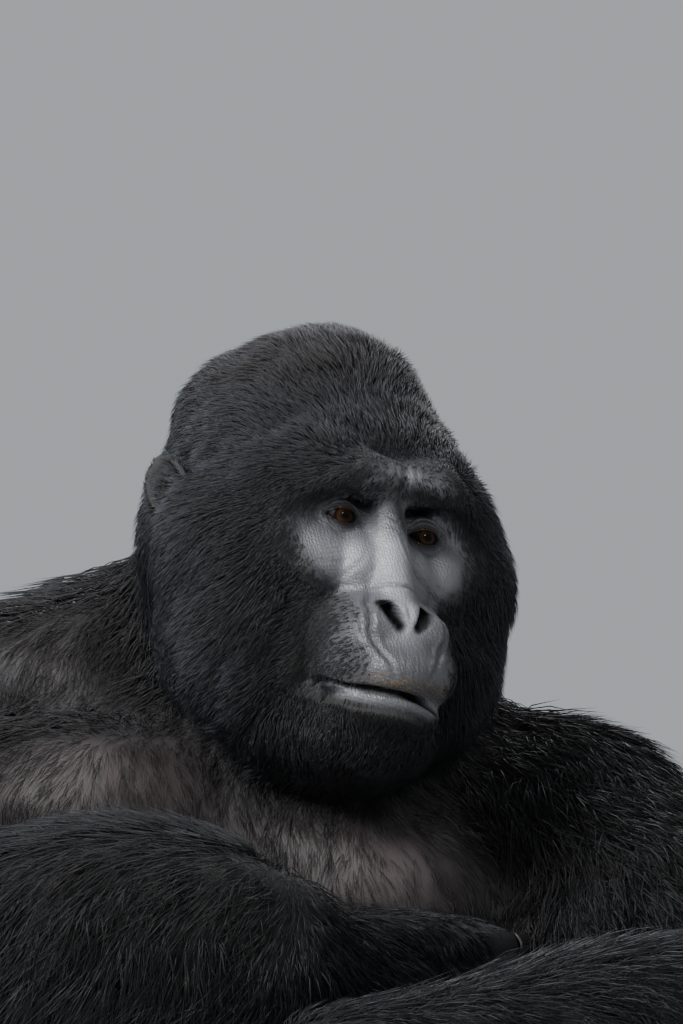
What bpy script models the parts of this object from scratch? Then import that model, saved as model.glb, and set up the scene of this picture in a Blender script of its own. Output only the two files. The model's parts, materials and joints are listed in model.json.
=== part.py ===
"""An adult male mountain gorilla sitting on the ground with its arms folded on its knees, life size.

It faces -Y, with +X on its left side and +Z up. The origin is the middle of the seat's flat, on the floor.
Every node is a closed form: rounded masses (balls and tapering limbs) fused by a voxel remesh, smoothed and
decimated. A form is then cut by its finished neighbours, grown by CLEARANCE, so that the pieces meet without
overlap. The forms include the coat, out to the tips of the hair.
"""

import math

import bmesh
import bpy
from mathutils import Euler, Matrix, Vector

# Driving dimensions, in metres and degrees.
MM = 0.001
CLEARANCE = 0.45 * MM       # gap that is left between two touching nodes
FLOOR_DEPTH = 0.2           # thickness of the block that trims the flats at z = 0
RIGHT, LEFT = -1, 1         # the gorilla's own sides, as signs of X
SIDES = {"right": RIGHT, "left": LEFT}

EYE_MID = Vector((0.096, -0.260, 0.8705))    # midpoint between the two eyeballs
HEAD_YAW, HEAD_PITCH, HEAD_ROLL = 25.0, 9.0, 11.0   # towards its left, upwards, leaning to its left
EYE_SPACING = 0.067
EYE_DROP = 0.0028            # how much lower the left eye sits, and the right one higher
EYE_RADIUS = 0.0118
EAR_PLACE = Vector((0.123, 0.098, 0.010))   # from EYE_MID, in the head's frame, left side

# Joints of the limbs: shoulder, elbow, wrist, knuckles and hip, knee, ankle.
SHOULDER = {"right": Vector((-0.245, -0.075, 0.672)), "left": Vector((0.224, -0.095, 0.612))}
ELBOW = {"right": Vector((-0.375, -0.335, 0.562)), "left": Vector((0.375, -0.355, 0.495))}
WRIST = {"right": Vector((0.020, -0.410, 0.564)), "left": Vector((0.050, -0.525, 0.505))}
HAND_AIM = {"right": Vector((0.86, 0.48, -0.15)), "left": Vector((-0.93, 0.06, -0.30))}
HAND_BACK = {"right": Vector((0.40, -0.90, 0.20)), "left": Vector((-0.32, -0.45, 0.84))}
FINGER_CURL = {"right": 12.0, "left": 26.0}          # degrees at each finger joint
HAND_SIZE, FOOT_SIZE = 1.14, 1.08                    # scale of the hand and foot forms
HIP = {"right": Vector((-0.130, -0.090, 0.165)), "left": Vector((0.130, -0.090, 0.165))}
KNEE = {"right": Vector((-0.245, -0.390, 0.365)), "left": Vector((0.265, -0.395, 0.325))}
ANKLE = {"right": Vector((-0.195, -0.495, 0.075)), "left": Vector((0.230, -0.485, 0.075))}
TOE_TURN = {"right": -14.0, "left": 16.0}            # degrees that each foot turns outwards

# How each kind of form is made: voxel size, smoothing passes and triangles left.
FORMS = {
    "head": (5.0 * MM, 8, 1700),
    "neck": (14.0 * MM, 8, 220),
    "trunk": (14.0 * MM, 12, 660),
    "upper_arm": (12.0 * MM, 6, 180),
    "forearm": (11.0 * MM, 6, 200),
    "hand": (5.0 * MM, 4, 430),
    "thigh": (13.0 * MM, 6, 170),
    "shin": (11.0 * MM, 6, 180),
    "foot": (5.5 * MM, 4, 390),
    "ear": (2.5 * MM, 3, 150),
}
SHARP_ANGLE = 35.0          # degrees; edges that bend more than this, such as a cut's, stay sharp


def clear_scene():
    """Removes what the startup file holds."""
    for old in list(bpy.data.objects):
        bpy.data.objects.remove(old)


def make_material(name, colour, roughness):
    """A plain Principled material with a linear colour."""
    made = bpy.data.materials.new(name)
    made.use_nodes = True
    shader = made.node_tree.nodes["Principled BSDF"]
    shader.inputs["Base Color"].default_value = (*colour, 1.0)
    shader.inputs["Roughness"].default_value = roughness
    shader.inputs["Metallic"].default_value = 0.0
    return made


def make_collection(name):
    """A new collection in the scene."""
    made = bpy.data.collections.new(name)
    bpy.context.scene.collection.children.link(made)
    return made


def ball(bm, frame, centre, radii, turn=(0.0, 0.0, 0.0), segments=28):
    """Adds an ellipsoid to bm. turn holds degrees about the frame's axes."""
    spin = Euler([math.radians(a) for a in turn]).to_matrix().to_4x4()
    place = frame @ Matrix.Translation(centre) @ spin @ Matrix.Diagonal((*radii, 1.0))
    bmesh.ops.create_uvsphere(
        bm, u_segments=segments, v_segments=segments * 2 // 3, radius=1.0, matrix=place)


def limb(bm, frame, start, end, start_radius, end_radius):
    """Adds a tapering limb with round ends to bm."""
    start, end = Vector(start), Vector(end)
    along = end - start
    aim = along.to_track_quat("Z", "Y").to_matrix().to_4x4()
    place = frame @ Matrix.Translation((start + end) / 2) @ aim
    bmesh.ops.create_cone(
        bm, cap_ends=True, segments=24, radius1=start_radius, radius2=end_radius,
        depth=along.length, matrix=place)
    ball(bm, frame, start, (start_radius,) * 3)
    ball(bm, frame, end, (end_radius,) * 3)


def chain(bm, frame, points, radii):
    """Adds limbs from point to point."""
    for i in range(len(points) - 1):
        limb(bm, frame, points[i], points[i + 1], radii[i], radii[i + 1])


def evaluated_mesh(obj):
    """A new plain mesh of obj with its modifiers applied."""
    bpy.context.view_layer.update()
    graph = bpy.context.evaluated_depsgraph_get()
    return bpy.data.meshes.new_from_object(obj.evaluated_get(graph))


def keep_largest(mesh):
    """Removes every loose body of mesh but the one with the most faces."""
    bm = bmesh.new()
    bm.from_mesh(mesh)
    bmesh.ops.remove_doubles(bm, verts=bm.verts, dist=0.02 * MM)
    left = set(bm.faces)
    bodies = []
    while left:
        body, edge = set(), [left.pop()]
        while edge:
            face = edge.pop()
            body.add(face)
            near = {f for e in face.edges for f in e.link_faces} & left
            left -= near
            edge.extend(near)
        bodies.append(body)
    bodies.sort(key=len)
    spare = [face for body in bodies[:-1] for face in body]
    bmesh.ops.delete(bm, geom=spare, context="FACES")
    bm.to_mesh(mesh)
    bm.free()


def make_form(name, kind, fill, parts, look):
    """A node's whole form. fill(bm) adds its masses, which are fused, smoothed and decimated."""
    voxel, passes, triangles = FORMS[kind]
    bm = bmesh.new()
    fill(bm)
    mesh = bpy.data.meshes.new(name)
    bm.to_mesh(mesh)
    bm.free()
    form = bpy.data.objects.new(name, mesh)
    parts.objects.link(form)
    fuse = form.modifiers.new("fuse", "REMESH")
    fuse.mode = "VOXEL"
    fuse.voxel_size = voxel
    soften = form.modifiers.new("soften", "SMOOTH")
    soften.iterations = passes
    form.data = evaluated_mesh(form)
    form.modifiers.clear()
    thin = form.modifiers.new("thin", "DECIMATE")
    thin.ratio = min(1.0, triangles / (2 * len(form.data.polygons)))
    thin.use_collapse_triangulate = True    # flat faces, so that a grown twin matches its form
    form.data = plain_body(form)
    form.modifiers.clear()
    form.data.materials.append(look)
    return form


def plain_body(form):
    """A new mesh of form with its modifiers applied, as one body that is shaded smooth."""
    mesh = evaluated_mesh(form)
    keep_largest(mesh)
    mesh.shade_smooth()
    mesh.set_sharp_from_angle(angle=math.radians(SHARP_ANGLE))
    return mesh


def grown_twin(form, cutters):
    """A hidden copy of form, grown by CLEARANCE, that cuts its neighbours."""
    twin = bpy.data.objects.new(form.name + "_cutter", form.data)
    cutters.objects.link(twin)
    grow = twin.modifiers.new("grow", "DISPLACE")
    grow.strength = CLEARANCE
    grow.mid_level = 0.0
    twin.hide_render = True
    twin.display_type = "WIRE"
    return twin


def overlapping(a, b):
    """Whether two objects' boxes touch."""
    def box(obj):
        corners = [v.co for v in obj.data.vertices]
        return [(min(c[i] for c in corners), max(c[i] for c in corners)) for i in range(3)]
    return all(lo_a < hi_b and lo_b < hi_a for (lo_a, hi_a), (lo_b, hi_b) in zip(box(a), box(b)))


def cut(form, cutter):
    """Takes cutter away from form, with an exact Boolean."""
    boolean = form.modifiers.new("less_" + cutter.name, "BOOLEAN")
    boolean.operation = "DIFFERENCE"
    boolean.solver = "EXACT"
    boolean.object = cutter


# ---------------------------------------------------------------- the head

def head_frame():
    """The head's frame: origin between the eyes, -Y out of the face, +X to its left."""
    turn = (Matrix.Rotation(math.radians(HEAD_ROLL), 4, "Y")
            @ Matrix.Rotation(math.radians(HEAD_YAW), 4, "Z")
            @ Matrix.Rotation(math.radians(-HEAD_PITCH), 4, "X"))
    return Matrix.Translation(EYE_MID) @ turn @ Matrix.Diagonal((MM, MM, MM, 1.0))


def fill_head(bm):
    """The head's masses, in millimetres in the head's frame."""
    frame = head_frame()
    ball(bm, frame, (0, 112, 40), (110, 114, 90))               # braincase with its coat
    ball(bm, frame, (0, 126, 88), (84, 92, 70), (-12, 0, 0))    # sagittal crest and crown
    ball(bm, frame, (0, 150, -8), (122, 90, 112))               # nape
    ball(bm, frame, (0, 46, 48), (80, 58, 38), (-24, 0, 0))     # sloping forehead
    for side in (LEFT, RIGHT):
        ball(bm, frame, (side * 70, 40, 14), (42, 50, 46))      # temple
        ball(bm, frame, (side * 30, 150, 72), (74, 78, 68))     # back of the skull
        ball(bm, frame, (side * 70, 62, -32), (76, 76, 72))     # jaw muscle and whiskers
        ball(bm, frame, (side * 62, 56, -92), (76, 78, 74))     # lower cheek whiskers
        ball(bm, frame, (side * 46, 8, -36), (35, 32, 34))      # cheekbone
        ball(bm, frame, (side * 34, 5, -1), (21, 16, 18))       # lids
        ball(bm, frame, (side * 17, 6, -16), (17, 19, 30))      # inner side of the eye socket
        ball(bm, frame, (side * 64, 18, -6), (22, 26, 24))      # outer side of the eye socket
        chain(bm, frame, [(0, -17, 31), (side * 38, -16, 36), (side * 68, 6, 24)],
              [15, 18, 18])                                     # brow ridge
        ball(bm, frame, (side * 42, 16, 46), (40, 34, 26))      # forehead over the brow
        ball(bm, frame, (side * 20, -50, -78), (18, 20, 18))    # wing of the nose
        ball(bm, frame, (side * 22, -36, -104), (30, 39, 28))   # upper lip
        ball(bm, frame, (side * 19, -10, -38), (20, 23, 30))    # slope from bridge to cheek
    limb(bm, frame, (0, -10, 12), (0, -38, -56), 12, 16)        # bridge of the nose
    ball(bm, frame, (0, -51, -71), (22, 20, 18))                # tip of the nose
    ball(bm, frame, (0, -16, -88), (55, 56, 44))                # muzzle
    ball(bm, frame, (0, -45, -106), (41, 41, 24))               # front of the upper lip
    ball(bm, frame, (0, -38, -136), (44, 42, 18))               # lower lip
    ball(bm, frame, (0, -14, -152), (56, 52, 34))               # chin and beard
    ball(bm, frame, (0, 44, -140), (84, 88, 52))                # throat


def fill_nostril(bm, side):
    """One nostril's opening, slanting up and outwards."""
    ball(bm, head_frame(), (side * 12, -70, -77), (6.5, 14, 11.0), (0, side * 34, 0), segments=12)


# The mouth's line from its middle to its left corner, in millimetres in the head's frame.
MOUTH_LINE = ((0, -79, -128), (15, -77, -127), (30, -69, -125), (43, -54, -123), (53, -38, -121))
MOUTH_RADIUS = 3.2


def make_mouth(cutters):
    """The closed mouth: a round groove between the lips, as a tube that cuts the head."""
    line = [(-x, y, z) for x, y, z in reversed(MOUTH_LINE[1:])] + list(MOUTH_LINE)
    curve = bpy.data.curves.new("mouth_line", "CURVE")
    curve.dimensions = "3D"
    curve.bevel_depth = MOUTH_RADIUS * MM
    curve.bevel_resolution = 1
    curve.use_fill_caps = True
    spline = curve.splines.new("POLY")
    spline.points.add(len(line) - 1)
    for point, place in zip(spline.points, line):
        point.co = (*(head_frame() @ Vector(place)), 1.0)
    tube = bpy.data.objects.new("mouth_line", curve)
    cutters.objects.link(tube)
    mesh = evaluated_mesh(tube)
    bpy.data.objects.remove(tube)
    keep_largest(mesh)
    return mesh


def ear_frame(side):
    """An ear's frame: +Z up along the ear, X out of the head."""
    place = Vector((side * EAR_PLACE.x, EAR_PLACE.y, EAR_PLACE.z)) / MM
    turn = Euler((math.radians(-12), 0.0, math.radians(side * -24))).to_matrix().to_4x4()
    return head_frame() @ Matrix.Translation(place) @ turn


def fill_ear(bm, side):
    """A small round ear: a disc with a rolled rim, standing off the head."""
    frame = ear_frame(side)
    ball(bm, frame, (0, 0, 0), (5, 19, 27))
    rim = []
    for step in range(9):
        angle = math.radians(-70 + 235 * step / 8)
        rim.append((side * 5, 18 * math.cos(angle), 26 * math.sin(angle)))
    chain(bm, frame, rim, [4.2] * len(rim))
    limb(bm, frame, (0, -8, -20), (side * 3, 6, -26), 6, 5)     # lobe
    limb(bm, frame, (side * -10, -8, 0), (0, 0, 0), 12, 8)      # root


def make_eye(side, side_name, parts, look):
    """An eyeball, whole."""
    place = head_frame() @ (Vector((side * EYE_SPACING / 2, 0, -side * EYE_DROP)) / MM)
    bm = bmesh.new()
    bmesh.ops.create_uvsphere(bm, u_segments=12, v_segments=7, radius=EYE_RADIUS)
    mesh = bpy.data.meshes.new("eye_" + side_name)
    bm.to_mesh(mesh)
    bm.free()
    mesh.transform(Matrix.Translation(place))
    mesh.shade_smooth()
    mesh.materials.append(look)
    eye = bpy.data.objects.new("eye_" + side_name, mesh)
    parts.objects.link(eye)
    return eye


# ---------------------------------------------------------------- the trunk and neck

WORLD = Matrix.Identity(4)


def fill_neck(bm):
    """The neck, from between the shoulders up into the nape."""
    limb(bm, WORLD, (0.025, -0.020, 0.680), (0.040, -0.092, 0.830), 0.165, 0.120)


def fill_trunk(bm):
    """The trunk: rump, belly, back and chest, tilted so that the right shoulder is the higher."""
    ball(bm, WORLD, (0.000, 0.010, 0.175), (0.245, 0.205, 0.200))       # pelvis
    for side in (LEFT, RIGHT):
        ball(bm, WORLD, (side * 0.105, -0.015, 0.120), (0.140, 0.160, 0.128))   # buttock
    ball(bm, WORLD, (0.000, -0.125, 0.330), (0.262, 0.238, 0.225))      # belly
    ball(bm, WORLD, (0.000, -0.005, 0.390), (0.268, 0.198, 0.270))      # loins
    ball(bm, WORLD, (0.003, 0.008, 0.500), (0.245, 0.197, 0.200))       # middle of the back
    ball(bm, WORLD, (0.003, -0.060, 0.575), (0.258, 0.198, 0.200), (0, 7, 0))      # rib cage
    ball(bm, WORLD, (0.010, 0.008, 0.640), (0.238, 0.165, 0.160), (0, 9, 0))      # upper back
    limb(bm, WORLD, (0.010, -0.030, 0.760), SHOULDER["right"] + Vector((0, 0.02, 0.02)), 0.112, 0.098)
    limb(bm, WORLD, (0.040, -0.040, 0.705), SHOULDER["left"] + Vector((0, 0.02, 0.0)), 0.100, 0.095)
    for shoulder in SHOULDER.values():                                  # muscles of the shoulder blade
        ball(bm, WORLD, shoulder + Vector((-0.28 * shoulder.x, 0.060, 0.0)), (0.125, 0.115, 0.125))
    ball(bm, WORLD, (-0.105, -0.175, 0.655), (0.125, 0.095, 0.085), (0, 12, 0))   # right breast
    ball(bm, WORLD, (0.095, -0.190, 0.600), (0.125, 0.095, 0.080), (0, 12, 0))    # left breast


# ---------------------------------------------------------------- the limbs

def fill_upper_arm(bm, side_name):
    """Shoulder muscle and upper arm, down to the elbow."""
    shoulder, elbow = SHOULDER[side_name], ELBOW[side_name]
    limb(bm, WORLD, shoulder, shoulder.lerp(elbow, 0.86), 0.122, 0.086)
    ball(bm, WORLD, shoulder.lerp(elbow, 0.5), (0.108, 0.108, 0.112))


def fill_forearm(bm, side_name):
    """Forearm with its long coat, from the elbow to the wrist."""
    elbow, wrist = ELBOW[side_name], WRIST[side_name]
    limb(bm, WORLD, elbow, elbow.lerp(wrist, 0.35), 0.097, 0.100)
    limb(bm, WORLD, elbow.lerp(wrist, 0.35), wrist, 0.100, 0.056)
    if side_name == "right":                # its muscles bulge where the arm presses on the other one
        ball(bm, WORLD, (-0.080, -0.385, 0.602), (0.145, 0.085, 0.082))


def hand_frame(side_name):
    """A hand's frame: origin at the wrist, +Y to the fingertips, +Z out of the back of the hand."""
    along = HAND_AIM[side_name].normalized()
    back = HAND_BACK[side_name]
    back = (back - along * back.dot(along)).normalized()
    across = along.cross(back)
    turn = Matrix((across, along, back)).transposed().to_4x4()
    return Matrix.Translation(WRIST[side_name]) @ turn @ Matrix.Diagonal((HAND_SIZE,) * 3 + (1.0,))


def curled(start, aim, lengths, curl):
    """The joints of a finger that bends by curl degrees at each one, downwards from aim."""
    points = [Vector(start)]
    aim = Vector(aim).normalized()
    side = aim.cross(Vector((0, 0, 1))).normalized()
    for length in lengths:
        points.append(points[-1] + aim * length)
        aim = Matrix.Rotation(math.radians(-curl), 3, side) @ aim
    return points


# Fingers as (place across the palm, share of the longest), lengths of their bones, radii at their joints.
FINGERS = ((-0.036, 0.92), (-0.012, 1.0), (0.013, 0.97), (0.037, 0.84))
FINGER_BONES = (0.046, 0.036, 0.026)
FINGER_RADII = (0.0165, 0.0160, 0.0145, 0.0120)


def fill_hand(bm, side_name):
    """Palm, four fingers and a thumb."""
    frame = hand_frame(side_name)
    thumb = SIDES[side_name]
    ball(bm, frame, (0, 0.045, -0.002), (0.050, 0.062, 0.026))          # palm
    limb(bm, frame, (0, -0.012, 0), (0, 0.030, 0), 0.036, 0.036)        # wrist
    for across, share in FINGERS:
        root = (across * thumb * -1, 0.092, 0.002)
        aim = (across * thumb * -0.9, 1.0, -0.10)
        bones = [bone * share for bone in FINGER_BONES]
        limb(bm, frame, (across * thumb * -0.8, 0.030, 0.004), root, 0.019, 0.0175)
        chain(bm, frame, curled(root, aim, bones, FINGER_CURL[side_name]), FINGER_RADII)
    thumb_joints = curled((thumb * -0.030, 0.022, -0.010), (thumb * -0.75, 1.0, -0.25),
                          (0.036, 0.028, 0.020), 8)
    chain(bm, frame, thumb_joints, (0.019, 0.015, 0.0135, 0.0115))


def fill_thigh(bm, side_name):
    """Thigh, from the hip to over the knee."""
    hip, knee = HIP[side_name], KNEE[side_name]
    limb(bm, WORLD, hip, knee, 0.128, 0.088)
    ball(bm, WORLD, hip.lerp(knee, 0.42) + Vector((0, 0, -0.012)), (0.118, 0.135, 0.122))


def fill_shin(bm, side_name):
    """Lower leg, from the knee to the ankle."""
    knee, ankle = KNEE[side_name], ANKLE[side_name]
    calf = knee.lerp(ankle, 0.40) + Vector((0, 0.018, 0))
    limb(bm, WORLD, knee.lerp(ankle, 0.12), calf, 0.070, 0.084)
    limb(bm, WORLD, calf, ankle, 0.080, 0.046)


def foot_frame(side_name):
    """A foot's frame: origin on the floor below the ankle, +Y to the toes, +Z up."""
    ankle = ANKLE[side_name]
    turn = Matrix.Rotation(math.radians(180 + TOE_TURN[side_name]), 4, "Z")
    return Matrix.Translation((ankle.x, ankle.y, 0)) @ turn @ Matrix.Diagonal((FOOT_SIZE,) * 3 + (1.0,))


# Toes, in the same way.
TOES = ((-0.030, 1.0), (-0.007, 1.04), (0.015, 0.98), (0.036, 0.86))
TOE_BONES = (0.036, 0.026, 0.018)
TOE_RADII = (0.0150, 0.0140, 0.0125, 0.0110)


def fill_foot(bm, side_name):
    """A flat foot with four toes and a great toe that stands apart, like a thumb."""
    frame = foot_frame(side_name)
    inner = SIDES[side_name]        # the frame is turned about, so its +X is the body's -X
    limb(bm, frame, (0, -0.030, 0.028), (inner * -0.004, 0.100, 0.026), 0.035, 0.036)   # sole
    limb(bm, frame, (inner * 0.020, 0.050, 0.026), (inner * -0.028, 0.095, 0.024), 0.030, 0.028)
    limb(bm, frame, (0, 0.000, 0.078), (0, 0.064, 0.036), 0.054, 0.034)                 # instep
    ball(bm, frame, (0, -0.026, 0.036), (0.040, 0.044, 0.040))                          # heel
    for across, share in TOES:
        root = (across * -inner, 0.126, 0.016)
        bones = [bone * share for bone in TOE_BONES]
        aim = (across * -inner * 1.2, 1.0, 0.06)
        limb(bm, frame, (across * -inner * 0.8, 0.070, 0.018), root, 0.019, 0.016)
        chain(bm, frame, curled(root, aim, bones, 7), TOE_RADII)
    great = curled((inner * 0.030, 0.045, 0.018), (inner * 0.62, 1.0, 0.04), (0.050, 0.036, 0.022), 5)
    chain(bm, frame, great, (0.021, 0.0185, 0.017, 0.0145))


# ---------------------------------------------------------------- assembly

def add_floor_block(cutters):
    """The block that trims what rests on the floor to flats at z = 0."""
    bm = bmesh.new()
    bmesh.ops.create_cube(bm, size=1.0, matrix=Matrix.Translation((0, 0, -FLOOR_DEPTH / 2))
                          @ Matrix.Diagonal((3.0, 3.0, FLOOR_DEPTH, 1.0)))
    mesh = bpy.data.meshes.new("floor_block")
    bm.to_mesh(mesh)
    bm.free()
    block = bpy.data.objects.new("floor_block", mesh)
    cutters.objects.link(block)
    block.hide_render = True
    block.display_type = "WIRE"
    return block


def add_head_cutters(cutters):
    """Nostrils and mouth, as closed meshes that cut the head."""
    meshes = {"mouth": make_mouth(cutters)}
    for name, side in SIDES.items():
        bm = bmesh.new()
        fill_nostril(bm, side)
        meshes["nostril_" + name] = bpy.data.meshes.new("nostril_" + name)
        bm.to_mesh(meshes["nostril_" + name])
        bm.free()
    made = []
    for name, mesh in meshes.items():
        cutter = bpy.data.objects.new(name + "_cutter", mesh)
        cutters.objects.link(cutter)
        cutter.hide_render = True
        cutter.display_type = "WIRE"
        made.append(cutter)
    return made


def main():
    clear_scene()
    parts = make_collection("gorilla")
    cutters = make_collection("cutters")
    coat = make_material("black_coat", (0.012, 0.012, 0.014), 0.75)
    bare = make_material("bare_skin", (0.045, 0.044, 0.048), 0.55)
    eye_look = make_material("eye", (0.060, 0.022, 0.008), 0.10)

    nodes = []
    for name, side in SIDES.items():
        nodes.append(make_eye(side, name, parts, eye_look))
    nodes.append(make_form("head", "head", fill_head, parts, coat))
    for kind, fill in (("hand", fill_hand), ("foot", fill_foot)):
        for name in SIDES:
            nodes.append(make_form(f"{kind}_{name}", kind, lambda bm, n=name, f=fill: f(bm, n),
                                   parts, bare))
    nodes.append(make_form("neck", "neck", fill_neck, parts, coat))
    for name, side in SIDES.items():
        nodes.append(make_form("ear_" + name, "ear", lambda bm, s=side: fill_ear(bm, s), parts, bare))
    nodes.append(make_form("trunk", "trunk", fill_trunk, parts, coat))
    for kind, fill in (("forearm", fill_forearm), ("shin", fill_shin),
                       ("upper_arm", fill_upper_arm), ("thigh", fill_thigh)):
        for name in SIDES:
            nodes.append(make_form(f"{kind}_{name}", kind, lambda bm, n=name, f=fill: f(bm, n),
                                   parts, coat))

    # Each node is cut by those before it, so the order above says which of two keeps its form.
    twins = [grown_twin(node, cutters) for node in nodes]
    head_cutters = add_head_cutters(cutters)
    floor_block = add_floor_block(cutters)
    for place, node in enumerate(nodes):
        for twin in twins[:place]:
            if overlapping(node, twin):
                cut(node, twin)
        if node.name == "head":
            for cutter in head_cutters:
                cut(node, cutter)
        if min(v.co.z for v in node.data.vertices) < 0:
            cut(node, floor_block)
    meshes = {node: plain_body(node) for node in nodes}     # all of them, before any changes
    for node, mesh in meshes.items():
        node.modifiers.clear()
        node.data = mesh


main()
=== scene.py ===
# %% [markdown]
# # A mountain gorilla, sitting
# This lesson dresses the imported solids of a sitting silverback. The solids give the true outline, out to the tips
# of the coat. The script adds what the eye wants: one skin with a creased face, wet eyes, nails, and a coat of over
# two hundred thousand small mesh tufts. Every length is in metres unless a name or a comment says mm.

# %% Load the fixed frame
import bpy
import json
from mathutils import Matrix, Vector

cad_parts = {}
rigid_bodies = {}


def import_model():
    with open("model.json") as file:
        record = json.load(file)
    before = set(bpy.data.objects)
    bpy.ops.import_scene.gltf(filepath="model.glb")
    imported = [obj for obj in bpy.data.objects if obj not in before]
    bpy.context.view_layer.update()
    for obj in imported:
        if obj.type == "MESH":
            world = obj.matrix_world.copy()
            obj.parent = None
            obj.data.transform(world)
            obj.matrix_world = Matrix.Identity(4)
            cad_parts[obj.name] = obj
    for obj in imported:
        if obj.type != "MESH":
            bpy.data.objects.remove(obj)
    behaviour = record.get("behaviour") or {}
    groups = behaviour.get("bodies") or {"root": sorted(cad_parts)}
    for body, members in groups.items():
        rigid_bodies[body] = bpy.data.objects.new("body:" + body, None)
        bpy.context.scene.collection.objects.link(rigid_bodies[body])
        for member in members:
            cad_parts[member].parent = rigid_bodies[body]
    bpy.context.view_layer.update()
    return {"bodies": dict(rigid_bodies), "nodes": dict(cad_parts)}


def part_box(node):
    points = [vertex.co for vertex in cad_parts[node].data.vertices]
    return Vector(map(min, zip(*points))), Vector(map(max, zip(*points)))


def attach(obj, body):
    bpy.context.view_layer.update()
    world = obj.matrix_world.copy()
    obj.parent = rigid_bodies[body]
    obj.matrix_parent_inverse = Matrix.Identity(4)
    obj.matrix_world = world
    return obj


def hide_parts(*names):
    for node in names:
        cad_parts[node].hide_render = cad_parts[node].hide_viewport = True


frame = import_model()

import json
import math

import bmesh
import bpy
import numpy as np
from mathutils import Euler, Matrix, Vector
from mathutils.bvhtree import BVHTree

MM = 0.001
SIDES = {"right": -1, "left": 1}         # the gorilla's own sides, as signs of X
body = next(iter(frame["bodies"]))
random = np.random.default_rng(7)

# %% [markdown]
# The face is shaped in a frame of its own, in mm: the origin lies between the eyes, -Y points out of the face and +X
# to the gorilla's left. It could be shaped where it stands, but an upright face is easier to measure and to mirror.
# The two eye nodes give the frame its origin, and three angles give its turn.

# %% The head's frame
HEAD_YAW, HEAD_PITCH, HEAD_ROLL = 25.0, 9.0, 11.0    # degrees: to its left, upwards, leaning to its left
EYE_RADIUS = 11.8                                    # mm
eye_centres = {}
for side_name in SIDES:
    low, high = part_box("eye_" + side_name)
    eye_centres[side_name] = (Vector(low) + Vector(high)) / 2
eye_mid = (eye_centres["right"] + eye_centres["left"]) / 2
head_turn = (Matrix.Rotation(math.radians(HEAD_ROLL), 4, "Y")
             @ Matrix.Rotation(math.radians(HEAD_YAW), 4, "Z")
             @ Matrix.Rotation(math.radians(-HEAD_PITCH), 4, "X"))
head_frame = Matrix.Translation(eye_mid) @ head_turn @ Matrix.Diagonal((MM, MM, MM, 1.0))
head_axes = np.array(head_turn.to_3x3())


def into_frame(points, place):
    """World points as they lie in a matrix's frame."""
    into = np.array(place.inverted())
    return points @ into[:3, :3].T + into[:3, 3]


def head_points(points):
    """World points as mm in the head's frame."""
    return into_frame(points, head_frame)


eye_at = {side_name: head_points(np.array([centre]))[0] for side_name, centre in eye_centres.items()}   # mm
print("between the eyes:", tuple(round(v, 4) for v in eye_mid))

# %% [markdown]
# The camera stands level with the animal's shoulders, about 4 m away, with a long lens, so that the head and the
# folded arms fill an upright view. A near camera would swell the muzzle. Its place is worked out from the eyes.

# %% The camera
CAMERA_DISTANCE = 4.0
CAMERA_TILT = math.radians(2.0)                      # looking down by this much
VIEW_HEIGHT = 0.7314                                 # metres of the animal from top to bottom
VIEW_OFFSET = Vector((-0.0271, 0.0, 0.0108))         # from between the eyes to the middle of the view
SENSOR = 36.0
looking = Vector((0, math.cos(CAMERA_TILT), -math.sin(CAMERA_TILT)))
camera = bpy.data.objects.new("camera", bpy.data.cameras.new("camera"))
camera.data.sensor_width = SENSOR
camera.data.lens = SENSOR * CAMERA_DISTANCE / VIEW_HEIGHT
camera.data.clip_end = 100.0
camera.location = eye_mid + VIEW_OFFSET - looking * CAMERA_DISTANCE
camera.rotation_mode = "QUATERNION"
camera.rotation_quaternion = looking.to_track_quat("-Z", "Y")
bpy.context.scene.collection.objects.link(camera)
bpy.context.scene.camera = camera
print("lens:", round(camera.data.lens, 1), "mm")

# %% [markdown]
# Flesh is built the way a sculptor blocks in clay: balls and tapering limbs are piled up, then fused by a voxel
# remesh. A box could be pushed and pulled into shape, but forms made of real masses look more alive.

# %% Tools for blocking in


def ball(bm, place, centre, radii, turn=(0.0, 0.0, 0.0), segments=(32, 20)):
    """Adds an ellipsoid. turn holds degrees about the frame's axes."""
    spin = Euler([math.radians(a) for a in turn]).to_matrix().to_4x4()
    bmesh.ops.create_uvsphere(
        bm, u_segments=segments[0], v_segments=segments[1], radius=1.0,
        matrix=place @ Matrix.Translation(centre) @ spin @ Matrix.Diagonal((*radii, 1.0)))


def chain(bm, place, points, radii):
    """Adds tapering limbs from point to point, with a ball at each one."""
    for point, radius in zip(points, radii):
        ball(bm, place, point, (radius,) * 3, segments=(20, 12))
    for i in range(len(points) - 1):
        start, end = Vector(points[i]), Vector(points[i + 1])
        along = end - start
        aim = along.to_track_quat("Z", "Y").to_matrix().to_4x4()
        bmesh.ops.create_cone(
            bm, cap_ends=True, segments=20, radius1=radii[i], radius2=radii[i + 1],
            depth=along.length, matrix=place @ Matrix.Translation((start + end) / 2) @ aim)


def limb(bm, place, start, end, start_radius, end_radius):
    """Adds one tapering limb with round ends."""
    chain(bm, place, (start, end), (start_radius, end_radius))


# %% [markdown]
# A silverback's head is a small braincase under a tall crest, with a heavy brow, huge jaw muscles and a short broad
# muzzle. Each of these is one or two balls, so any of them can be moved by changing one line.

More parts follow.
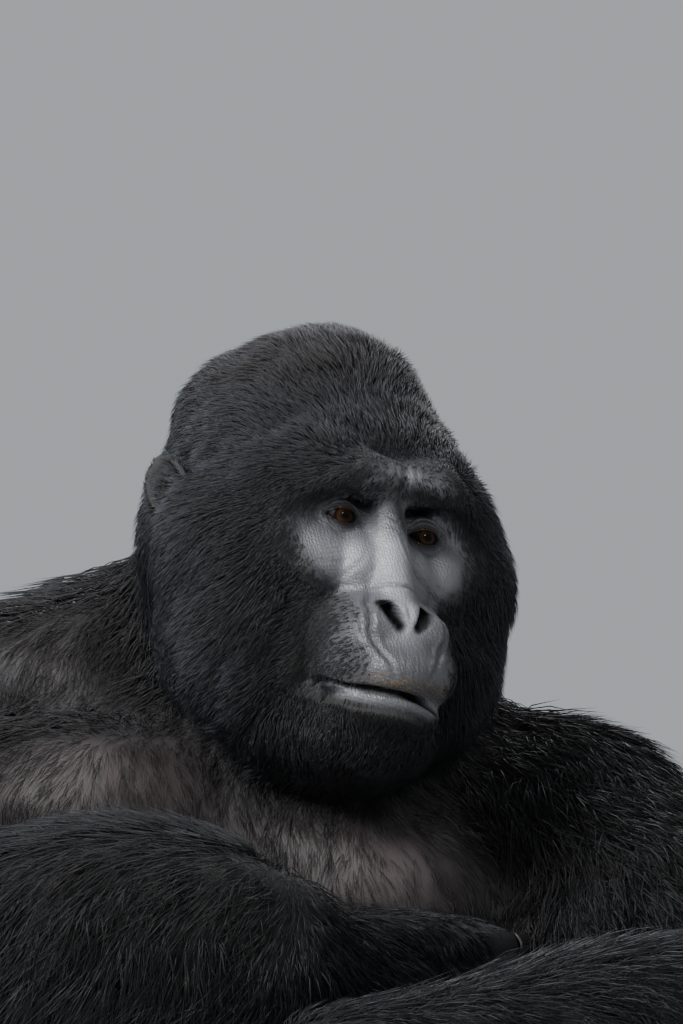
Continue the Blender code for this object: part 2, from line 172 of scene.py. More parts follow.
# %% The head's masses
def fill_head(bm):
    """The head with its coat, in mm in the head's frame."""
    place = head_frame
    ball(bm, place, (0, 112, 40), (110, 114, 90))               # braincase with its coat
    ball(bm, place, (0, 126, 88), (84, 92, 70), (-12, 0, 0))    # sagittal crest and crown
    ball(bm, place, (0, 150, -8), (122, 90, 112))               # nape
    ball(bm, place, (0, 46, 48), (80, 58, 38), (-24, 0, 0))     # sloping forehead
    for side in SIDES.values():
        ball(bm, place, (side * 70, 40, 14), (42, 50, 46))      # temple
        ball(bm, place, (side * 30, 150, 72), (74, 78, 68))     # back of the skull
        ball(bm, place, (side * 70, 62, -32), (76, 76, 72))     # jaw muscle and whiskers
        ball(bm, place, (side * 62, 56, -92), (76, 78, 74))     # lower cheek whiskers
        ball(bm, place, (side * 46, 8, -36), (35, 32, 34))      # cheekbone
        ball(bm, place, (side * 34, 5, -1), (21, 16, 18))       # lids
        ball(bm, place, (side * 17, 6, -16), (17, 19, 30))      # inner side of the eye socket
        ball(bm, place, (side * 64, 18, -6), (22, 26, 24))      # outer side of the eye socket
        chain(bm, place, [(0, -17, 31), (side * 38, -16, 36), (side * 68, 6, 24)],
              [15, 18, 18])                                     # brow ridge
        ball(bm, place, (side * 42, 16, 46), (40, 34, 26))      # forehead over the brow
        ball(bm, place, (side * 20, -50, -78), (18, 20, 18))    # wing of the nose
        ball(bm, place, (side * 19, -10, -38), (20, 23, 30))    # slope from bridge to cheek
        ball(bm, place, (side * 22, -36, -104), (30, 39, 28))   # upper lip
    limb(bm, place, (0, -10, 12), (0, -38, -56), 12, 16)        # bridge of the nose
    ball(bm, place, (0, -51, -71), (22, 20, 18))                # tip of the nose
    ball(bm, place, (0, -16, -88), (55, 56, 44))                # muzzle
    ball(bm, place, (0, -45, -106), (41, 41, 24))               # front of the upper lip
    ball(bm, place, (0, -38, -136), (44, 42, 18))               # lower lip
    ball(bm, place, (0, -14, -152), (56, 52, 34))               # chin and beard
    ball(bm, place, (0, 44, -140), (84, 88, 52))                # throat


# %% [markdown]
# A gorilla's ears are small and lie close to the head. A disc with a chain of balls for its rim gives the shell and
# its fold, and a root joins it to the head so that both fuse. A hollowed ball would come out too thin to fuse.

# %% The ears' masses
EAR_PLACE = Vector((123, 98, 10))                   # mm, the left ear


def fill_ear(bm, side):
    """A small round ear: a thin disc with a rolled rim. +Z runs up along the ear and X out of the head."""
    turn = Euler((math.radians(-12), 0.0, math.radians(side * -24))).to_matrix().to_4x4()
    place = head_frame @ Matrix.Translation((side * EAR_PLACE.x, EAR_PLACE.y, EAR_PLACE.z)) @ turn
    ball(bm, place, (side * -1.5, 0, 0), (3.4, 18, 26))
    angles = [math.radians(-70 + 235 * step / 12) for step in range(13)]
    chain(bm, place, [(side * 4.5, 18 * math.cos(a), 26 * math.sin(a)) for a in angles], [3.8] * len(angles))
    limb(bm, place, (0, -8, -20), (side * 3, 6, -26), 6, 5)     # lobe
    limb(bm, place, (side * -10, -8, 0), (0, 0, 0), 12, 8)      # root
    ball(bm, place, (side * 3, -11, -6), (4, 4, 6))             # tragus


print("from ear to ear:", 2 * EAR_PLACE.x, "mm")


# %% [markdown]
# The pose is kept as joints: where shoulders, elbows, wrists, hips, knees and ankles are, and how hands and feet are
# turned. The coat follows these bones later. Hands and feet are made in frames of their own, where they lie flat.

# %% Where the limbs' joints are
SHOULDER = {"right": Vector((-0.245, -0.075, 0.672)), "left": Vector((0.224, -0.095, 0.612))}
ELBOW = {"right": Vector((-0.375, -0.335, 0.562)), "left": Vector((0.375, -0.355, 0.495))}
WRIST = {"right": Vector((0.020, -0.410, 0.564)), "left": Vector((0.050, -0.525, 0.505))}
HAND_AIM = {"right": Vector((0.86, 0.48, -0.15)), "left": Vector((-0.93, 0.06, -0.30))}
HAND_BACK = {"right": Vector((0.40, -0.90, 0.20)), "left": Vector((-0.32, -0.45, 0.84))}
FINGER_CURL = {"right": 12.0, "left": 26.0}
HIP = {"right": Vector((-0.130, -0.090, 0.165)), "left": Vector((0.130, -0.090, 0.165))}
KNEE = {"right": Vector((-0.245, -0.390, 0.365)), "left": Vector((0.265, -0.395, 0.325))}
ANKLE = {"right": Vector((-0.195, -0.495, 0.075)), "left": Vector((0.230, -0.485, 0.075))}
TOE_TURN = {"right": -14.0, "left": 16.0}
HAND_SIZE, FOOT_SIZE = 1.14, 1.08


def hand_frame(side_name):
    """A hand's frame: origin at the wrist, +Y to the fingertips, +Z out of the back of the hand."""
    along = HAND_AIM[side_name].normalized()
    back = HAND_BACK[side_name]
    back = (back - along * back.dot(along)).normalized()
    turn = Matrix((along.cross(back), along, back)).transposed().to_4x4()
    return Matrix.Translation(WRIST[side_name]) @ turn @ Matrix.Diagonal((HAND_SIZE,) * 3 + (1.0,))


def foot_frame(side_name):
    """A foot's frame: origin on the floor below the ankle, +Y to the toes, +Z up."""
    ankle = ANKLE[side_name]
    turn = Matrix.Rotation(math.radians(180 + TOE_TURN[side_name]), 4, "Z")
    return Matrix.Translation((ankle.x, ankle.y, 0)) @ turn @ Matrix.Diagonal((FOOT_SIZE,) * 3 + (1.0,))


print("forearms:", [round((ELBOW[side_name] - WRIST[side_name]).length, 3) for side_name in SIDES])

# %% [markdown]
# A digit is a chain of three bones that bends a little at each joint. Four like digits stand side by side on each
# hand and foot, and a thumb or a great toe stands apart, as a gorilla's feet can grip. Chains of balls give knuckles
# for nothing, where a bent cylinder would have none.

# %% Fingers and toes
FINGERS = ((-0.036, 0.92), (-0.012, 1.0), (0.013, 0.97), (0.037, 0.84))   # place across, share of length
TOES = ((-0.030, 1.0), (-0.007, 1.04), (0.015, 0.98), (0.036, 0.86))


def curled(start, aim, lengths, curl):
    """The joints of a digit that bends by curl degrees at each one, downwards from aim."""
    points = [Vector(start)]
    aim = Vector(aim).normalized()
    side = aim.cross(Vector((0, 0, 1))).normalized()
    for length in lengths:
        points.append(points[-1] + aim * length)
        aim = Matrix.Rotation(math.radians(-curl), 3, side) @ aim
    return points


def digit_row(rows, side, root, aim, bones, radii, curl):
    """Joints and radii of four like digits. root and aim hold what the digits share: y and z, spread and rise."""
    return [(curled((-across * side, *root), (-across * side * aim[0], 1.0, aim[1]),
                    [bone * share for bone in bones], curl), radii) for across, share in rows]


def hand_digits(side_name):
    """The joints and radii of the four fingers and the thumb, in the hand's frame."""
    side = SIDES[side_name]
    thumb = curled((side * -0.030, 0.022, -0.010), (side * -0.75, 1.0, -0.25), (0.036, 0.028, 0.020), 8)
    return digit_row(FINGERS, side, (0.092, 0.002), (0.9, -0.10), (0.046, 0.036, 0.026),
                     (0.0165, 0.0160, 0.0145, 0.0120), FINGER_CURL[side_name]) + [
        (thumb, (0.019, 0.015, 0.0135, 0.0115))]


def foot_digits(side_name):
    """The joints and radii of the four toes and the great toe, in the foot's frame."""
    side = SIDES[side_name]
    great = curled((side * 0.030, 0.045, 0.018), (side * 0.62, 1.0, 0.04), (0.050, 0.036, 0.022), 5)
    return digit_row(TOES, side, (0.126, 0.016), (1.2, 0.06), (0.036, 0.026, 0.018),
                     (0.0150, 0.0140, 0.0125, 0.0110), 7) + [(great, (0.021, 0.0185, 0.017, 0.0145))]


print("bones of a right hand's digits:", [len(points) - 1 for points, _ in hand_digits("right")])

# %% [markdown]
# A gorilla's palm is long and flat with short thick fingers, and its foot has a heel, a high instep and a great toe
# that stands off. Each is two or three masses with the digits' chains let into its front edge.


# %% Hands and feet
def fill_hand(bm, side_name):
    """Palm, wrist, fingers and thumb, with knuckles."""
    place, side = hand_frame(side_name), SIDES[side_name]
    ball(bm, place, (0, 0.045, -0.002), (0.050, 0.062, 0.026))
    limb(bm, place, (0, -0.012, 0), (0, 0.030, 0), 0.036, 0.036)
    for across, _ in FINGERS:
        limb(bm, place, (-across * side * 0.8, 0.030, 0.004), (-across * side, 0.092, 0.002), 0.019, 0.0175)
    for points, radii in hand_digits(side_name):
        chain(bm, place, points, radii)


def fill_foot(bm, side_name):
    """Sole, heel, instep and toes."""
    place, side = foot_frame(side_name), SIDES[side_name]
    limb(bm, place, (0, -0.030, 0.028), (side * -0.004, 0.100, 0.026), 0.035, 0.036)
    limb(bm, place, (side * 0.020, 0.050, 0.026), (side * -0.028, 0.095, 0.024), 0.030, 0.028)
    limb(bm, place, (0, 0.000, 0.078), (0, 0.064, 0.036), 0.054, 0.034)
    ball(bm, place, (0, -0.026, 0.036), (0.040, 0.044, 0.040))
    for across, _ in TOES:
        limb(bm, place, (-across * side * 0.8, 0.070, 0.018), (-across * side, 0.126, 0.016), 0.019, 0.016)
    for points, radii in foot_digits(side_name):
        chain(bm, place, points, radii)


# %% [markdown]
# A bmesh is a scratch copy that operators work on. When a shape is ready it becomes a mesh, and an object puts that
# mesh in the scene. The result of a modifier is kept by taking the evaluated mesh, so nothing live is left behind.


# %% Tools for meshes and objects
def new_object(name, mesh):
    """An object for mesh, in the scene."""
    made = bpy.data.objects.new(name, mesh)
    bpy.context.scene.collection.objects.link(made)
    return made


def mesh_of(bm, name):
    """Turns a bmesh into a mesh and frees it."""
    mesh = bpy.data.meshes.new(name)
    bm.to_mesh(mesh)
    bm.free()
    return mesh


def applied(obj):
    """Applies obj's modifiers to its mesh."""
    bpy.context.view_layer.update()
    graph = bpy.context.evaluated_depsgraph_get()
    obj.data = bpy.data.meshes.new_from_object(obj.evaluated_get(graph))
    obj.modifiers.clear()


# %% [markdown]
# One skin covers the whole animal. Head, ears, hands and feet are blocked in again from their masses, because a bare
# face and bare fingers need more than the solids' flat facets. The trunk and limbs are copies of the solids. Separate
# skins would show where they meet, so all of it is fused at once and there is no seam.

# %% Fuse the flesh
SKIN_VOXEL = 3.2 * MM
OVERLAP = 1.2 * MM           # copies of solids grow by this, so that they meet
REBUILT = [name for name in frame["nodes"] if name.startswith(("head", "ear", "hand", "foot"))]
flesh_nodes = [name for name in frame["nodes"] if not name.startswith("eye_")]

pieces = []
for name in flesh_nodes:
    if name in REBUILT:
        continue
    copy = bmesh.new()
    copy.from_mesh(frame["nodes"][name].data)
    bmesh.ops.remove_doubles(copy, verts=copy.verts, dist=0.01 * MM)
    copy.normal_update()
    for vert in copy.verts:
        vert.co += vert.normal * OVERLAP
    pieces.append(mesh_of(copy, "copy"))
for fill, who in ((fill_head, None), (fill_ear, -1), (fill_ear, 1), (fill_hand, "right"),
                  (fill_hand, "left"), (fill_foot, "right"), (fill_foot, "left")):
    blocked = bmesh.new()
    fill(blocked, who) if who else fill(blocked)
    pieces.append(mesh_of(blocked, "blocked"))
flesh = bmesh.new()
for mesh in pieces:
    flesh.from_mesh(mesh)
    bpy.data.meshes.remove(mesh)
skin = new_object("skin", mesh_of(flesh, "skin"))
fuse = skin.modifiers.new("fuse", "REMESH")
fuse.mode = "VOXEL"
fuse.voxel_size = SKIN_VOXEL
skin.modifiers.new("soften", "SMOOTH").iterations = 5
applied(skin)
print("fused skin:", len(skin.data.polygons), "faces")

# %% [markdown]
# Hundreds of thousands of vertices are too many for a Python loop. From here on the skin is read into arrays, worked
# on all at once, and written back.

# %% Read and write a mesh as arrays
FIELDS = {"points": ("vertices", "co", 3, float), "normals": ("vertex_normals", "vector", 3, float),
          "edges": ("edges", "vertices", 2, int), "triangles": ("loops", "vertex_index", 3, int)}


def read(mesh, what):
    """A mesh's points, normals, edges or triangles, as an array with a row for each."""
    source, key, per_row, kind = FIELDS[what]
    data = getattr(mesh, source)
    flat = np.empty(len(data) * (1 if source == "loops" else per_row), np.float32 if kind is float else np.int32)
    data.foreach_get(key, flat)
    return flat.reshape(-1, per_row).astype(kind)


def set_points(mesh, points):
    """Puts an array back as a mesh's vertices."""
    mesh.vertices.foreach_set("co", points.astype(np.float32).ravel())
    mesh.update()


def unit(vectors):
    """Vectors made one long."""
    return vectors / np.maximum(np.linalg.norm(vectors, axis=-1, keepdims=True), 1e-9)


def ramp(values, start, end):
    """Goes smoothly from 0 at start to 1 at end."""
    t = np.clip((values - start) / (end - start), 0.0, 1.0)
    return t * t * (3 - 2 * t)


def bell(values, middle, width):
    """The exponent of a bell curve: 0 at the middle, -1 one width away from it."""
    return -((values - middle) / width) ** 2


print("skin's highest point:", round(float(read(skin.data, "points")[:, 2].max()), 4))

# %% [markdown]
# The face's hair line is a drawn outline: how far the bare skin reaches to each side, up and down, in mm. One
# function tells how far outside that outline a place lies, and everything that changes there reads it.

# %% Where the face is bare
def beyond_face(points):
    """How far outside the bare face a point lies, in mm. points are mm in the head's frame."""
    x, y, z = points.T
    heights = [-150, -136, -130, -118, -105, -90, -71, -52, -44, -35, -14, 3, 15, 30]
    right = np.interp(z, heights, [10, 26, 43, 51, 52, 48, 43, 42, 53, 66, 75, 73, 66, 60])
    left = np.interp(z, heights, [10, 22, 33, 43, 42, 40, 43, 50, 55, 66, 72, 70, 64, 58])
    top = np.interp(x, [-75, -58, -44, -30, -16, 0, 18, 34, 48, 62, 75], [0, 8, 16, 38, 45, 46, 45, 40, 24, 6, -6])
    low = np.interp(x, [-60, -48, -38, -24, 0, 21, 40, 55], [-121, -125, -129.5, -133, -135, -136.5, -137, -134])
    sideways = np.abs(x) - np.where(x < 0, right, left)
    back = y - np.interp(z, [-112, -96, -80, -60], [-17, -10, 4, 34])
    return np.maximum.reduce([sideways, z - top, low - z, back * 0.8])


# %% [markdown]
# The fused skin is as fine everywhere as the face needs. Under the coat nobody sees it, so it is thinned there, and
# less so on hands, feet and ears. Painted weights say where, as a remesh with bigger voxels would lose the face.

# %% Thin the skin where the coat hides it
FACES_LEFT, THIN_HANDS = 0.052, 0.40     # share of the faces that stays, and how readily hands, feet and ears give
points = read(skin.data, "points")
at = head_points(points)
keep = (np.abs(at[:, 0]) < 92) & (at[:, 1] < 42) & (at[:, 2] > -170) & (at[:, 2] < 70)
bare = np.zeros(len(points), bool)
for name in REBUILT:
    if name != "head":
        low, high = (np.array(corner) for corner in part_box(name))
        bare |= ((points > low - 4 * MM) & (points < high + 4 * MM)).all(axis=1)
weights = skin.vertex_groups.new(name="thin")
for choice, weight in ((keep, 0.0), (~keep & bare, THIN_HANDS), (~keep & ~bare, 1.0)):
    weights.add(np.nonzero(choice)[0].tolist(), weight, "REPLACE")
thin = skin.modifiers.new("thin", "DECIMATE")
thin.ratio = FACES_LEFT
thin.vertex_group = "thin"
thin.use_collapse_triangulate = True
applied(skin)
skin.vertex_groups.clear()
print("thinned skin:", len(skin.data.polygons), "faces")

# %% [markdown]
# Cutting every edge of a region in two halves its spacing. A Subdivision Surface modifier would refine the whole
# skin, and only small regions need it.


# %% A tool that cuts edges
def cut_edges(mesh, wanted, passes=1, grid_fill=True):
    """Cuts in two every edge that wanted says, and makes the mesh triangles again."""
    bm = bmesh.new()
    bm.from_mesh(mesh)
    for _ in range(passes):
        edges = [edge for edge in bm.edges if wanted(edge)]
        bmesh.ops.subdivide_edges(bm, edges=edges, cuts=1, use_grid_fill=grid_fill)
        bmesh.ops.triangulate(bm, faces=[face for face in bm.faces if len(face.verts) > 3])
    bm.to_mesh(mesh)
    bm.free()


def both_in(region):
    """A test of an edge: whether both its ends lie in a region, an array of true and false."""
    flags = region.tolist()
    return lambda edge: flags[edge.verts[0].index] and flags[edge.verts[1].index]


# %% [markdown]
# Markings and hair need vertices to live on, so no edge of the body may be long. The face gets a finer mesh, for its
# creases, and the lids a finer one still, so that they can close round the eyeballs.

# %% Refine the body, the face and the lids
LONGEST_EDGE = 15 * MM
cut_edges(skin.data, lambda edge: edge.calc_length() > LONGEST_EDGE, passes=5, grid_fill=False)
at = head_points(read(skin.data, "points"))
cut_edges(skin.data, both_in((np.abs(at[:, 0]) < 76) & (at[:, 1] < 26) & (at[:, 2] > -150) & (at[:, 2] < 56)))
at = head_points(read(skin.data, "points"))
near = np.zeros(len(at), bool)
for eye in eye_at.values():
    offset = at - eye
    near |= (np.hypot(offset[:, 0], offset[:, 2]) < 19) & (offset[:, 1] < 14) & (offset[:, 1] > -26)
cut_edges(skin.data, both_in(near))
print("refined skin:", len(skin.data.polygons), "faces")

# %% [markdown]
# A value that jumps from one part to the next would show as a line in the coat. Each pass moves every vertex's value
# half way to the mean of its neighbours, so a few passes spread a jump over a few centimetres. The skin's mesh stays
# as it is from here on, so its edges are read once.

# %% A tool that smooths values over the skin
edges = read(skin.data, "edges")
degree = np.maximum(np.bincount(edges.ravel()), 1)[:, None]


def spread(values, passes):
    """Smooths values over the skin's edges. values has a number or a row for each vertex."""
    smooth = values.reshape(len(values), -1).astype(float)
    for _ in range(passes):
        total = np.empty_like(smooth)
        for k in range(smooth.shape[1]):
            total[:, k] = (np.bincount(edges[:, 0], smooth[edges[:, 1], k], len(values))
                           + np.bincount(edges[:, 1], smooth[edges[:, 0], k], len(values)))
        smooth += 0.5 * (total / degree - smooth)
    return smooth.reshape(values.shape)


print("neighbours of a vertex:", round(float(degree.mean()), 1))

# %% [markdown]
# The skin must lie under the coat by the coat's depth, and the coat must know which way to lie. Both are kept as
# values on the skin's vertices. They could be painted by hand, but they follow from the part of the body, which is
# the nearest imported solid.

# %% Which part of the body each vertex belongs to
NEAR_PART = 0.012                                            # metres: how far a vertex may lie from its solid's box
points = read(skin.data, "points")
nearest = np.full(len(points), 1.0)
part_of = np.zeros(len(points), int)
for index, name in enumerate(flesh_nodes):
    mesh = frame["nodes"][name].data
    low, high = (np.array(corner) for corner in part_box(name))
    inside = np.nonzero(((points > low - NEAR_PART) & (points < high + NEAR_PART)).all(axis=1))[0]
    tree = BVHTree.FromPolygons([vert.co for vert in mesh.vertices], [face.vertices for face in mesh.polygons])
    for i in inside.tolist():
        found = tree.find_nearest(points[i], nearest[i])
        if found[3] is not None and found[3] < nearest[i]:
            nearest[i], part_of[i] = found[3], index


def belongs(*names):
    """True for the vertices that belong to the named parts."""
    return np.isin(part_of, [flesh_nodes.index(name) for name in names])


print("vertices of each part:", dict(zip(flesh_nodes, np.bincount(part_of, minlength=len(flesh_nodes)).tolist())))

# %% [markdown]
# A gorilla's hair is long on arms and thighs, short on the face's edge and finest on the crown. It hangs down the
# body, and on the forearm it runs back to the elbow, where rain drips off. Each part gets its plain values here.

# %% The coat's length, depth and lie, part by part
LENGTH, DEPTH, WIDTH, CROWD = range(4)    # mm of hair, mm of coat, mm of a tuft, tufts to each square centimetre
COAT = {
    "trunk": (62, 24, 1.9, 4.4), "neck": (44, 17, 1.2, 12.0), "head": (23, 11, 0.80, 48.0), "ear": (13, 0.6, 0.7, 40.0),
    "upper_arm": (62, 21, 1.1, 14.0), "forearm": (62, 20, 1.1, 14.0), "hand": (26, 3.0, 1.0, 18.0),
    "thigh": (64, 20, 1.9, 4.6), "shin": (58, 18, 1.8, 4.6), "foot": (15, 1.2, 0.8, 16.0)}
BONES = {"upper_arm": (SHOULDER, ELBOW, 0.75), "forearm": (WRIST, ELBOW, 1.5),    # from, to, how much it droops
         "thigh": (HIP, KNEE, 0.6), "shin": (KNEE, ANKLE, 0.3)}
DOWN = np.array((0.0, 0.0, -1.0))


def columns(*values):
    """Numbers and arrays, side by side."""
    return np.stack(np.broadcast_arrays(*values), 1)


def lie_of(kind, side_name, points):
    """Which way the coat lies on one part, as world directions."""
    if kind == "head":
        x, y, z = head_points(points).T
        flow = columns(np.sign(x) * 0.25, 0.75, -0.75)                                      # cheeks
        crown = ramp(z, 22, 62)[:, None]
        flow = flow * (1 - crown) + crown * columns(x * 0.004, 1.0, 0.25 - y * 0.004)
        beard = (ramp(-z, 104, 140) * ramp(-y, -60, -10))[:, None]
        flow = flow * (1 - beard) + beard * columns(x * 0.004, 0.12, -1.0)
        return flow @ head_axes.T
    if kind == "ear":
        return head_axes @ np.array((0.0, 0.8, 0.5))
    if kind == "hand":
        return np.array(HAND_AIM[side_name].normalized()) * 0.6 + DOWN * 0.6
    if kind == "foot":
        return np.array((foot_frame(side_name).to_3x3() @ Vector((0, 1, 0))).normalized())
    if kind == "neck":
        return DOWN + np.array((0.0, 0.35, 0.0))
    if kind == "trunk":
        outwards = np.clip(points[:, 0:1] * 2.2, -0.5, 0.5) * ramp(points[:, 2:3], 0.45, 0.7)
        return DOWN + outwards * np.array((1.0, 0.0, 0.0)) + np.array((0.0, 0.10, 0.0))
    start, end, droop = BONES[kind]
    return np.array((end[side_name] - start[side_name]).normalized()) + DOWN * droop


normals = read(skin.data, "normals")
lie = np.zeros((len(points), 3))
pile = np.zeros((len(points), 4))
for name in flesh_nodes:
    mine = belongs(name)
    kind = name.replace("_right", "").replace("_left", "")
    lie[mine] = unit(lie_of(kind, "right" if name.endswith("right") else "left", points[mine]))
    pile[mine] = COAT[kind]
print("longest hair:", pile[:, LENGTH].max(), "mm, deepest coat:", pile[:, DEPTH].max(), "mm")

# %% [markdown]
# Where the coat thins, it does so by degrees. Each place where it does is a soft region between 0 and 1, made of
# ramps along the axes and multiplied together. Palms, soles and fingertips are bare, the chest's hair is short and
# lets the skin show, and fine short hair grows on the brow and beside the upper lip.

# %% Where the coat is short or thin
at = head_points(points)
x, y, z = points.T
hx, hy, hz = at.T                                            # the same places, in the head's frame
outside = beyond_face(at)
bare_face = ramp(-outside, -3, 4)
head_like, trunk_like = belongs("head", "neck"), belongs("trunk")
chest = (ramp(-normals[:, 1], 0.15, 0.5) * ramp(z, 0.40, 0.50) * ramp(-z, -0.85, -0.77)
         * ramp(0.25 - np.abs(x + 0.03), 0.0, 0.05)) * trunk_like
brow_hair = (ramp(hz, 12, 18) * ramp(-hz, -34, -28) * ramp(np.abs(hx + 1), 7, 16)) * bare_face
lip_side = ramp(np.maximum(-hx, hx - 2) - 26, 0, 14) * ramp(-hz, 80, 98) * bare_face
lip_side *= ramp(hz, -120, -114)
fuzz = 0.42 * brow_hair + 0.42 * lip_side + 0.26 * ramp(hz, 14, 24) * bare_face
# the face darkens under thin hair towards its edge and at the mouth's corners, but not on the lower lip
face_edge = ramp(outside, -15, -1) * np.maximum(ramp(hz, -118, -104), ramp(np.abs(hx), 36, 46)) * bare_face
fuzz += 0.26 * face_edge
print("vertices on the bare face:", int((bare_face > 0.5).sum()), "and on the chest:", int((chest > 0.5).sum()))

# %% [markdown]
# Hair is shortest beside the face, and longest on cheeks, beard and nape. The coat thins towards wrists and ankles,
# and runs a little way over hands and feet, so that no cuff shows. All of this scales the plain values.

# %% How the coat changes within a part
share = np.ones(len(points))
share += 0.50 * ramp(np.abs(hx), 52, 84) * ramp(-hz, 0, 40) * head_like
share -= 0.30 * ramp(hz, 30, 60) * ramp(-hy, -70, -20) * head_like
share += 0.75 * ramp(hy, 90, 150) * ramp(-hz, -70, 0) * head_like
beside = head_like * (1 - ramp(outside, 0, 36))
pile[:, LENGTH] *= share * (1 - 0.62 * beside)
pile[:, DEPTH] *= 1 - beside
pile[:, WIDTH] *= 1 - 0.30 * beside
pile[:, CROWD] *= 1 + 0.8 * beside
bare_limbs = np.zeros(len(points))                           # 1 on palms, soles and the digits' ends
for side_name in SIDES:
    mine = belongs("forearm_" + side_name)
    up_arm = ramp(np.linalg.norm(points - np.array(WRIST[side_name]), axis=1), 0.04, 0.15)[mine]
    pile[mine, LENGTH] *= 0.70 + 0.30 * up_arm
    pile[mine, DEPTH] *= 0.50 + 0.50 * up_arm
    mine = belongs("shin_" + side_name)
    up_leg = ramp(z[mine], 0.05, 0.22)
    pile[mine, LENGTH] *= 0.45 + 0.55 * up_leg
    pile[mine, DEPTH] *= 0.30 + 0.70 * up_leg
    pile[mine, CROWD] *= 1.9 - 0.9 * up_leg
    for part, frame_of, cuff, reach in (("hand_", hand_frame, 0.095, 0.128), ("foot_", foot_frame, 0.075, 0.150)):
        place = frame_of(side_name)
        mine = belongs(part + side_name)
        along = into_frame(points, place)[:, 1]
        facing = normals @ np.array(place.to_3x3().normalized())
        bare_limbs[mine] = np.maximum(ramp(-facing[:, 2], 0.0, 0.35), ramp(along, reach, reach + 0.03))[mine]
        pile[mine, LENGTH] *= 1 + 1.2 * ramp(-along[mine], -cuff, 0.0)
        pile[mine, DEPTH] *= 1 + 2.5 * ramp(-along[mine], -cuff, 0.0)
pile[:, DEPTH] *= 1 - 0.80 * chest
pile[:, LENGTH] *= 1 - 0.55 * chest
pile[:, WIDTH] *= 1 - 0.68 * chest
pile[:, CROWD] *= 1 + 1.1 * chest
print("hair beside the face:", round(float(pile[beside > 0.99, LENGTH].mean()), 1), "mm")

# %% [markdown]
# Smoothing turns the regions into one coat without borders. The lie needs the most passes, as hair turns slowly, and
# bareness the fewest, because the edge of the bare face is rather sharp. The chest also has two bare patches.

# %% Smooth the coat's values over the skin
pile = spread(pile, 12)
bareness = spread(np.maximum.reduce([bare_face, bare_limbs, 0.08 * belongs("ear_right", "ear_left")]), 3)
chest = spread(chest, 14)
bare_and_sheen_patches = chest * (np.exp(bell(x, 0.112, 0.055) + bell(z, 0.635, 0.032))
                + 0.6 * np.exp(bell(x, -0.085, 0.075) + bell(z, 0.700, 0.030)))    # bare patches of the chest, which also get painted sheen
lie = unit(spread(lie, 22))
print("coat's depth:", pile[:, DEPTH].min().round(4), "to", pile[:, DEPTH].max().round(4), "mm")

# %% [markdown]
# The solids end at the tips of the coat, so the skin itself lies deeper. Each vertex moves in along its smoothed
# normal by the coat's depth. Scaling the whole skin down would pull it out of place instead.

# %% Draw the skin in under the coat
SOLE = 0.5 * MM
depth = spread(pile[:, DEPTH], 4) * np.where(head_like, ramp(outside, -1, 26), 1.0)
inner = points - unit(spread(normals, 10)) * depth[:, None] * MM
blend = np.maximum(ramp(depth, 4.0, 12.0), trunk_like)[:, None]
points = inner * (1 - blend) + spread(inner, 9) * blend
points[:, 2] = np.maximum(points[:, 2], SOLE)                # the soles lie flat on the floor
set_points(skin.data, points)
print("skin drawn in by up to", round(float(depth.max()), 1), "mm")

# %% [markdown]
# A gorilla's bare face is all folds. Each fold is a line across the face, given in mm to the gorilla's left and up
# from between the eyes. The skin sinks along the line and swells a little on both sides of it, as soft skin does.
# Folds in a bump map would cost less, but real ones cast real shadows.

# %% Tools for folds
at = head_points(read(skin.data, "points"))
face_normals = unit(spread(read(skin.data, "normals"), 4)) @ head_axes
face_tree = BVHTree.FromPolygons(at.tolist(), read(skin.data, "triangles").tolist())
frontal = ramp(-at[:, 1], -48, -30)
sink = np.zeros_like(at)
# painted shade: how dark each place of the face is painted, in folds, recesses and round the eyes
dark = np.zeros(len(at))
FAR_FRONT = -300.0


def on_face(line):
    """A line laid on the face, as 3-D points in the head's frame. Pairs (left, up) are laid from in front."""
    if len(line[0]) == 3:
        dense = [Vector(a).lerp(Vector(b), i / 8) for a, b in zip(line[:-1], line[1:]) for i in range(9)]
        return np.array([face_tree.find_nearest(point)[0] for point in dense])
    laid = []
    for (x0, z0), (x1, z1) in zip(line[:-1], line[1:]):
        steps = max(1, int(math.hypot(x1 - x0, z1 - z0) / 2))
        for i in range(steps + 1):
            hit = face_tree.ray_cast((x0 + (x1 - x0) * i / steps, FAR_FRONT, z0 + (z1 - z0) * i / steps), (0, 1, 0))[0]
            if hit is not None and hit.y < 60:
                laid.append(hit)
    return np.array(laid)


def fold(line, width, depth, puff=0.25, shade=0.0, square=False, inwards=None, taper=0.0):
    """Sinks the skin along a line, with a swelling beside it. shade is painted shade that darkens the bottom of the
    fold.
    """
    laid, reach = on_face(line), 4.5 * width
    near = np.nonzero(((at > laid.min(axis=0) - reach) & (at < laid.max(axis=0) + reach)).all(axis=1))[0]
    gaps = np.linalg.norm(at[near][:, None] - laid[None], axis=2)
    along = gaps.argmin(axis=1) / (len(laid) - 1)
    gap = gaps.min(axis=1) / (1 - taper * along)
    ends = np.sqrt(np.clip(np.sin(np.pi * np.clip(along, 0.03, 0.97)), 0, 1))
    core = np.exp(-(gap / width) ** (4 if square else 2))
    amount = frontal[near] * depth * ends * (core - puff * np.exp(bell(gap, 2.1 * width, 0.9 * width)))
    run = -face_normals[near] if inwards is None else np.array(inwards)
    sink[near] += run * amount[:, None]
    # how far the painted shade spreads across the fold
    shade_spread = np.exp(-(gap / (1.15 * width)) ** 4) if square else core * ends
    dark[near] = np.maximum(dark[near], frontal[near] * shade * shade_spread)
